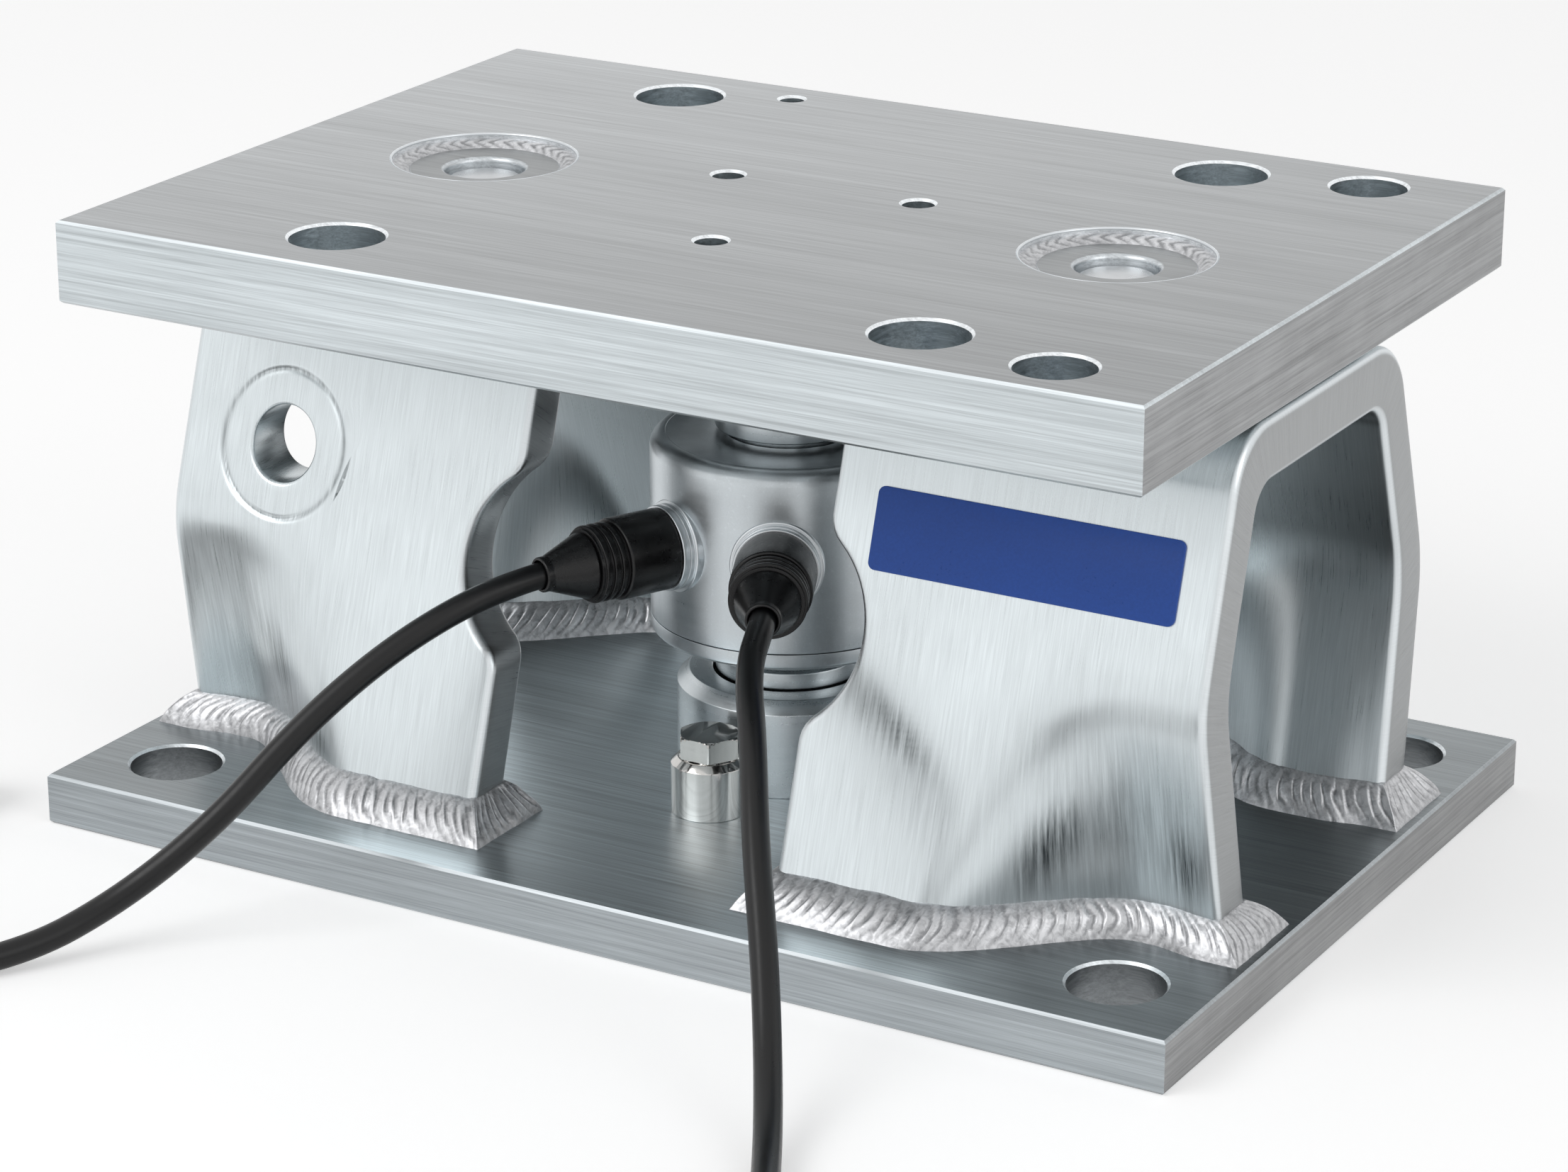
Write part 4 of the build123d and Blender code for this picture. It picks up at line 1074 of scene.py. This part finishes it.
# Bosses and their ring welds
def ring_bead(name, middle, node, seed):
    """Ring weld in the plate's opening: a hollow between plate and boss, with crescents round it."""
    rng = np.random.default_rng(seed)
    sides = 520
    angle = full_turn(sides)
    across = np.linspace(0, 1, 12)
    phase_noise = np.interp(angle, np.linspace(0, 2 * math.pi, 40), rng.normal(0, 0.5, 40))
    lift = 0.45 + 0.55 * smooth((np.cos(angle - math.radians(112)) + 0.2) / 1.0)
    rows = []
    ripples = []
    for f in across:
        r = 28.05 - 5.4 * f
        z = 189.5 - 2.1 * f + 0.5 * math.sin(math.pi * f)
        crescent = 4.6 * (1 - abs(2 * f - 1))
        phase = np.round(24.5 * 2 * math.pi / 4.3) * angle - crescent / 4.3 * 2 * math.pi + phase_noise * 1.6
        wave = (np.sin(phase) + 0.4 * np.sin(2 * phase + 0.8)) * lift
        body = math.sin(math.pi * min(max(f, 0.02), 0.98))
        height = z + wave * 0.22 * body
        rows.append(np.stack([middle + r * np.cos(angle), r * np.sin(angle), height], axis=-1))
        ripples.append(wave * body + 0.15)
    for r, z in ((22.4, 184.0), (28.05, 184.0)):
        rows.append(np.stack([middle + r * np.cos(angle), r * np.sin(angle), np.full(sides, z)], axis=-1))
        ripples.append(np.zeros(sides))
    weld(name, "top_plate", np.stack(rows), ripples, node)


for side, sign in (("left", -1), ("right", 1)):
    lathe(side + "_threaded_boss",
          [(12.05, TOP_LOW, 0.3), (27.9, TOP_LOW, 0.3), (27.9, 182, 0), (22.9, 182, 0), (22.9, 187.7, 0.4),
           (12.1, 187.7, 1.7), (12.1, 182.5, 0)],
          "top_plate", "turned_steel", boss_steel, [side + "_boss"], (sign * BOSS_X, 0, 0), sides=160)
    ring_bead(side + "_ring_bead", sign * BOSS_X, side + "_boss_weld", 21 + sign)


# A thin rounded lip round each plate opening, a hair above the plate, in a paler metal than the plate: its
# rounding is real, its paler tone a painted highlight ring.
for side, sign in (("left", -1), ("right", 1)):
    lathe(side + "_opening_lip",
          [(28.0, 189.9, 0), (28.0, 191.04, 0.45), (28.5, 191.04, 0.1), (28.5, 189.9, 0)],
          "top_plate", "polished_steel", socket_metal, (), (sign * BOSS_X, 0, 0), sides=192)


# Load cell, seats and post
CELL_R = 41.8
NECK_R = 18.7
COLLAR_R = 22.2
SEAT_R = 34.0
SEAT_BORE_R = 23.0
SEAT_EDGE_R = 30.3


lathe("cell_drum",
      [(38.8, 65.1, 0.2), (CELL_R, 65.1, 0.5), (CELL_R, 121.6, 4.6), (37.0, 121.6, 0.1), (37.0, 119.0, 0),
       (19.0, 119.0, 0), (19.0, 116.0, 0), (38.8, 116.0, 0)],
      "load_cell", "cell_steel", cell_steel, ["cell_housing"], sides=256)
lathe("cell_ring",
      [(18.75, 60, 0.3), (CELL_R, 60, 1.5), (CELL_R, 64.98, 0.12), (38.75, 64.98, 0), (38.75, 67.6, 0),
       (35.8, 67.6, 0), (35.8, 64.6, 0), (18.75, 64.6, 0)],
      "load_cell", "cell_steel", cell_steel, ["cell_base_ring"], sides=256)
lathe("cell_cover",
      [(19.05, 119.0, 0), (36.98, 119.0, 0), (36.98, 121.6, 0.12), (19.05, 121.6, 0.3)],
      "load_cell", "cell_steel", cell_steel, ["cell_lid"], sides=256)
lathe("cell_column",
      [(0, 28.2, 0), (7.5, 28.6, 0), (15.0, 29.82, 0.3), (NECK_R, 33.5, 0.5), (NECK_R, 45.9, 0.3),
       (COLLAR_R, 46.3, 0.5), (COLLAR_R, 51.4, 0.6), (20.6, 52.2, 0.6), (20.6, 58.6, 1.0),
       (NECK_R, 59.4, 0.5), (NECK_R, 72.0, 0), (18.38, 76.0, 0), (18.38, 102.0, 0), (18.5, 106.0, 0),
       (18.5, 122.9, 0.3),
       (COLLAR_R, 123.7, 0.5), (COLLAR_R, 133.9, 0.5), (NECK_R, 135.2, 0.5), (NECK_R, 148.48, 0.5),
       (15.0, 152.18, 0.3), (7.5, 153.4, 0), (0, 153.8, 0)],
      "load_cell", "turned_steel", turned_steel, ["rocker_column"], sides=160)
for side, body, ground, way in (("lower", "base", BASE_TOP, 1), ("upper", "top_plate", TOP_LOW, -1)):
    seat = [(0, 0, 0), (SEAT_R, 0, 0.2), (SEAT_R, 26.6, 0.5), (SEAT_EDGE_R, 30.3, 0.5),
            (SEAT_BORE_R, 30.3, 0.5), (SEAT_BORE_R, 12, 0.5), (0, 12, 0)]
    lathe(side + "_cup", [(r, ground + way * height, fillet) for r, height, fillet in seat],
          body, "turned_steel", turned_steel, [side + "_seat"], sides=192)
lathe("post",
      [(0, BASE_TOP, 0), (11.5, BASE_TOP, 0.2), (11.5, 31.4, 0.4), (9.5, 33.4, 0.4), (5.05, 33.4, 0.2),
       (5.05, 19, 0), (0, 19, 0)],
      "base", "polished_steel", polished_steel, ["earth_post"], (0, POST_Y, 0), sides=160)


def hex_bolt():
    """Hexagon bolt: its radius is that of the hexagon, or of a shallow cone at the top where that is less."""
    sides = 240
    angle = full_turn(sides)
    flats = 8.5 / np.cos((angle % (math.pi / 3)) - math.pi / 6)
    rows = [(4.96, 19.4, 0), (4.96, 33.4, 0), (9.1, 33.4, 0), (9.6, 33.75, 1), (99.0, 34.0, 1),
            (99.0, 39.0, 1), (10.2, 39.5, 1), (9.55, 40.0, 1), (9.0, 40.28, 1), (8.6, 40.4, 1)]
    points = []
    for r, z, shaped in rows:
        radius = np.minimum(flats, r) if shaped else np.full(sides, r)
        places = [radius * np.cos(angle), radius * np.sin(angle) + POST_Y, np.full(sides, z)]
        points.append(np.stack(places, axis=-1))
    shape = capped(np.stack(points))
    shape.build("post_bolt", "base", "polished_steel", bolt_steel, "earth_bolt", sharp=25.0)


hex_bolt()


def name_slab():
    """Blank plate: a flat slab with small round corners, tilted with the wall that it sits on."""
    wide, tall, thick, corner = 94.9, 23.9, 0.8, 2.2
    slope = math.radians(LEAN_DEGREES)
    middle = np.array([(65.7 + 160.6) / 2, 0.0, (110.8 + 133.6) / 2])
    middle[1] = -(FOOT_HALF - LEAN * (middle[2] - LOW_Z))
    across = np.array([1.0, 0, 0])
    upward = np.array([0, math.sin(slope), math.cos(slope)])
    outward = np.array([0, -math.cos(slope), math.sin(slope)])
    outline = []
    for cx, cy, start in ((1, 1, 0), (-1, 1, 90), (-1, -1, 180), (1, -1, 270)):
        for a in np.linspace(start, start + 90, 9):
            a = math.radians(a)
            outline.append((cx * (wide / 2 - corner) + corner * math.cos(a),
                            cy * (tall / 2 - corner) + corner * math.sin(a)))
    outline = np.array(outline)
    rows = []
    for inset, height in ((0.0, 0.05), (0.0, thick - 0.15), (0.07, thick - 0.03), (0.22, thick + 0.02)):
        size = outline * (1 - inset / np.array([wide / 2, tall / 2]))
        rows.append(middle + size[:, :1] * across + size[:, 1:] * upward + outward * height)
    capped(np.stack(rows)).build("blank_plate", "base", "plate_blue", plate_blue, "nameplate", sharp=50.0)


name_slab()


# CAD nodes that stay, with their finish
def dress(material, *names):
    for name in names:
        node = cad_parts[name]
        node.data.materials.clear()
        node.data.materials.append(material)


dress(top_steel, "top_plate")
dress(base_steel, "base_plate")
dress(board_green, "signal_board")
dress(gauge_foil, *["strain_gauge_" + str(n) for n in (1, 2, 3, 4)])
dress(seal_rubber, "lower_seal", "upper_seal")
dress(stud_steel, *[side + part for side in ("left", "right")
                    for part in ("_stud", "_washer", "_nut", "_lock_nut")])


# Floor, world and lamps
def seen_by(tree, first, *others):
    """Is 1 for any of these kinds of ray and 0 for the rest."""
    rays = tree.nodes.new("ShaderNodeLightPath")
    share = rays.outputs[first]
    for kind in others:
        larger = tree.nodes.new("ShaderNodeMath")
        larger.operation = "MAXIMUM"
        tree.links.new(share, larger.inputs[0])
        tree.links.new(rays.outputs[kind], larger.inputs[1])
        share = larger.outputs[0]
    return share


def make_floor():
    """Pale floor under the plate, which turns white towards the camera away from the shadow."""
    mesh = bpy.data.meshes.new("floor")
    reach = 6.0
    mesh.from_pydata([(-reach, -reach, 0), (reach, -reach, 0), (reach, reach, 0), (-reach, reach, 0)], [],
                     [(0, 1, 2, 3)])
    floor = bpy.data.objects.new("floor", mesh)
    scene.collection.objects.link(floor)
    g = Graph("studio floor")
    mesh.materials.append(g.finish((0.9, 0.9, 0.9, 1), 0.9, 0.0))
    plain = g.shader.outputs[0]
    glow = g.nodes.new("ShaderNodeEmission")
    glow.inputs["Color"].default_value = (1, 1, 1, 1)
    glow.inputs["Strength"].default_value = 0.40
    both = g.nodes.new("ShaderNodeAddShader")
    choose = g.nodes.new("ShaderNodeMixShader")
    share = seen_by(g.material.node_tree, "Is Camera Ray", "Is Glossy Ray")
    for value, socket in ((plain, both.inputs[0]), (glow.outputs[0], both.inputs[1]),
                          (share, choose.inputs[0]), (plain, choose.inputs[1]),
                          (both.outputs[0], choose.inputs[2]),
                          (choose.outputs[0], g.nodes["Material Output"].inputs["Surface"])):
        g.feed(value, socket)


def make_world():
    """White behind the object and in reflections, softer as a light."""
    world = bpy.data.worlds.new("studio")
    scene.world = world
    world.use_nodes = True
    nodes = world.node_tree.nodes
    level = nodes.new("ShaderNodeMapRange")
    seen = seen_by(world.node_tree, "Is Camera Ray", "Is Transmission Ray", "Is Glossy Ray")
    world.node_tree.links.new(seen, level.inputs["Value"])
    level.inputs["To Min"].default_value = 0.45
    level.inputs["To Max"].default_value = 1.0
    world.node_tree.links.new(level.outputs["Result"], nodes["Background"].inputs["Strength"])
    nodes["Background"].inputs["Color"].default_value = (1, 1, 1, 1)


def make_lamp(name, place, aim, size, power):
    data = bpy.data.lights.new(name, "AREA")
    data.shape = "RECTANGLE"
    data.size = size[0]
    data.size_y = size[1]
    data.energy = power
    towards = np.array(aim, float) - np.array(place, float)
    towards /= np.linalg.norm(towards)
    side = np.cross(towards, [0, 0, 1.0])
    side /= np.linalg.norm(side)
    stand(bpy.data.objects.new(name, data), place, side, np.cross(side, towards), towards)


make_floor()
make_world()
make_lamp("key", (-0.9, -1.6, 1.7), (0, 0, 0.08), (1.6, 1.2), 16.0)
make_lamp("fill", (1.9, -0.4, 1.2), (0, 0, 0.08), (1.2, 1.2), 5.0)
scene.view_settings.view_transform = "Standard"
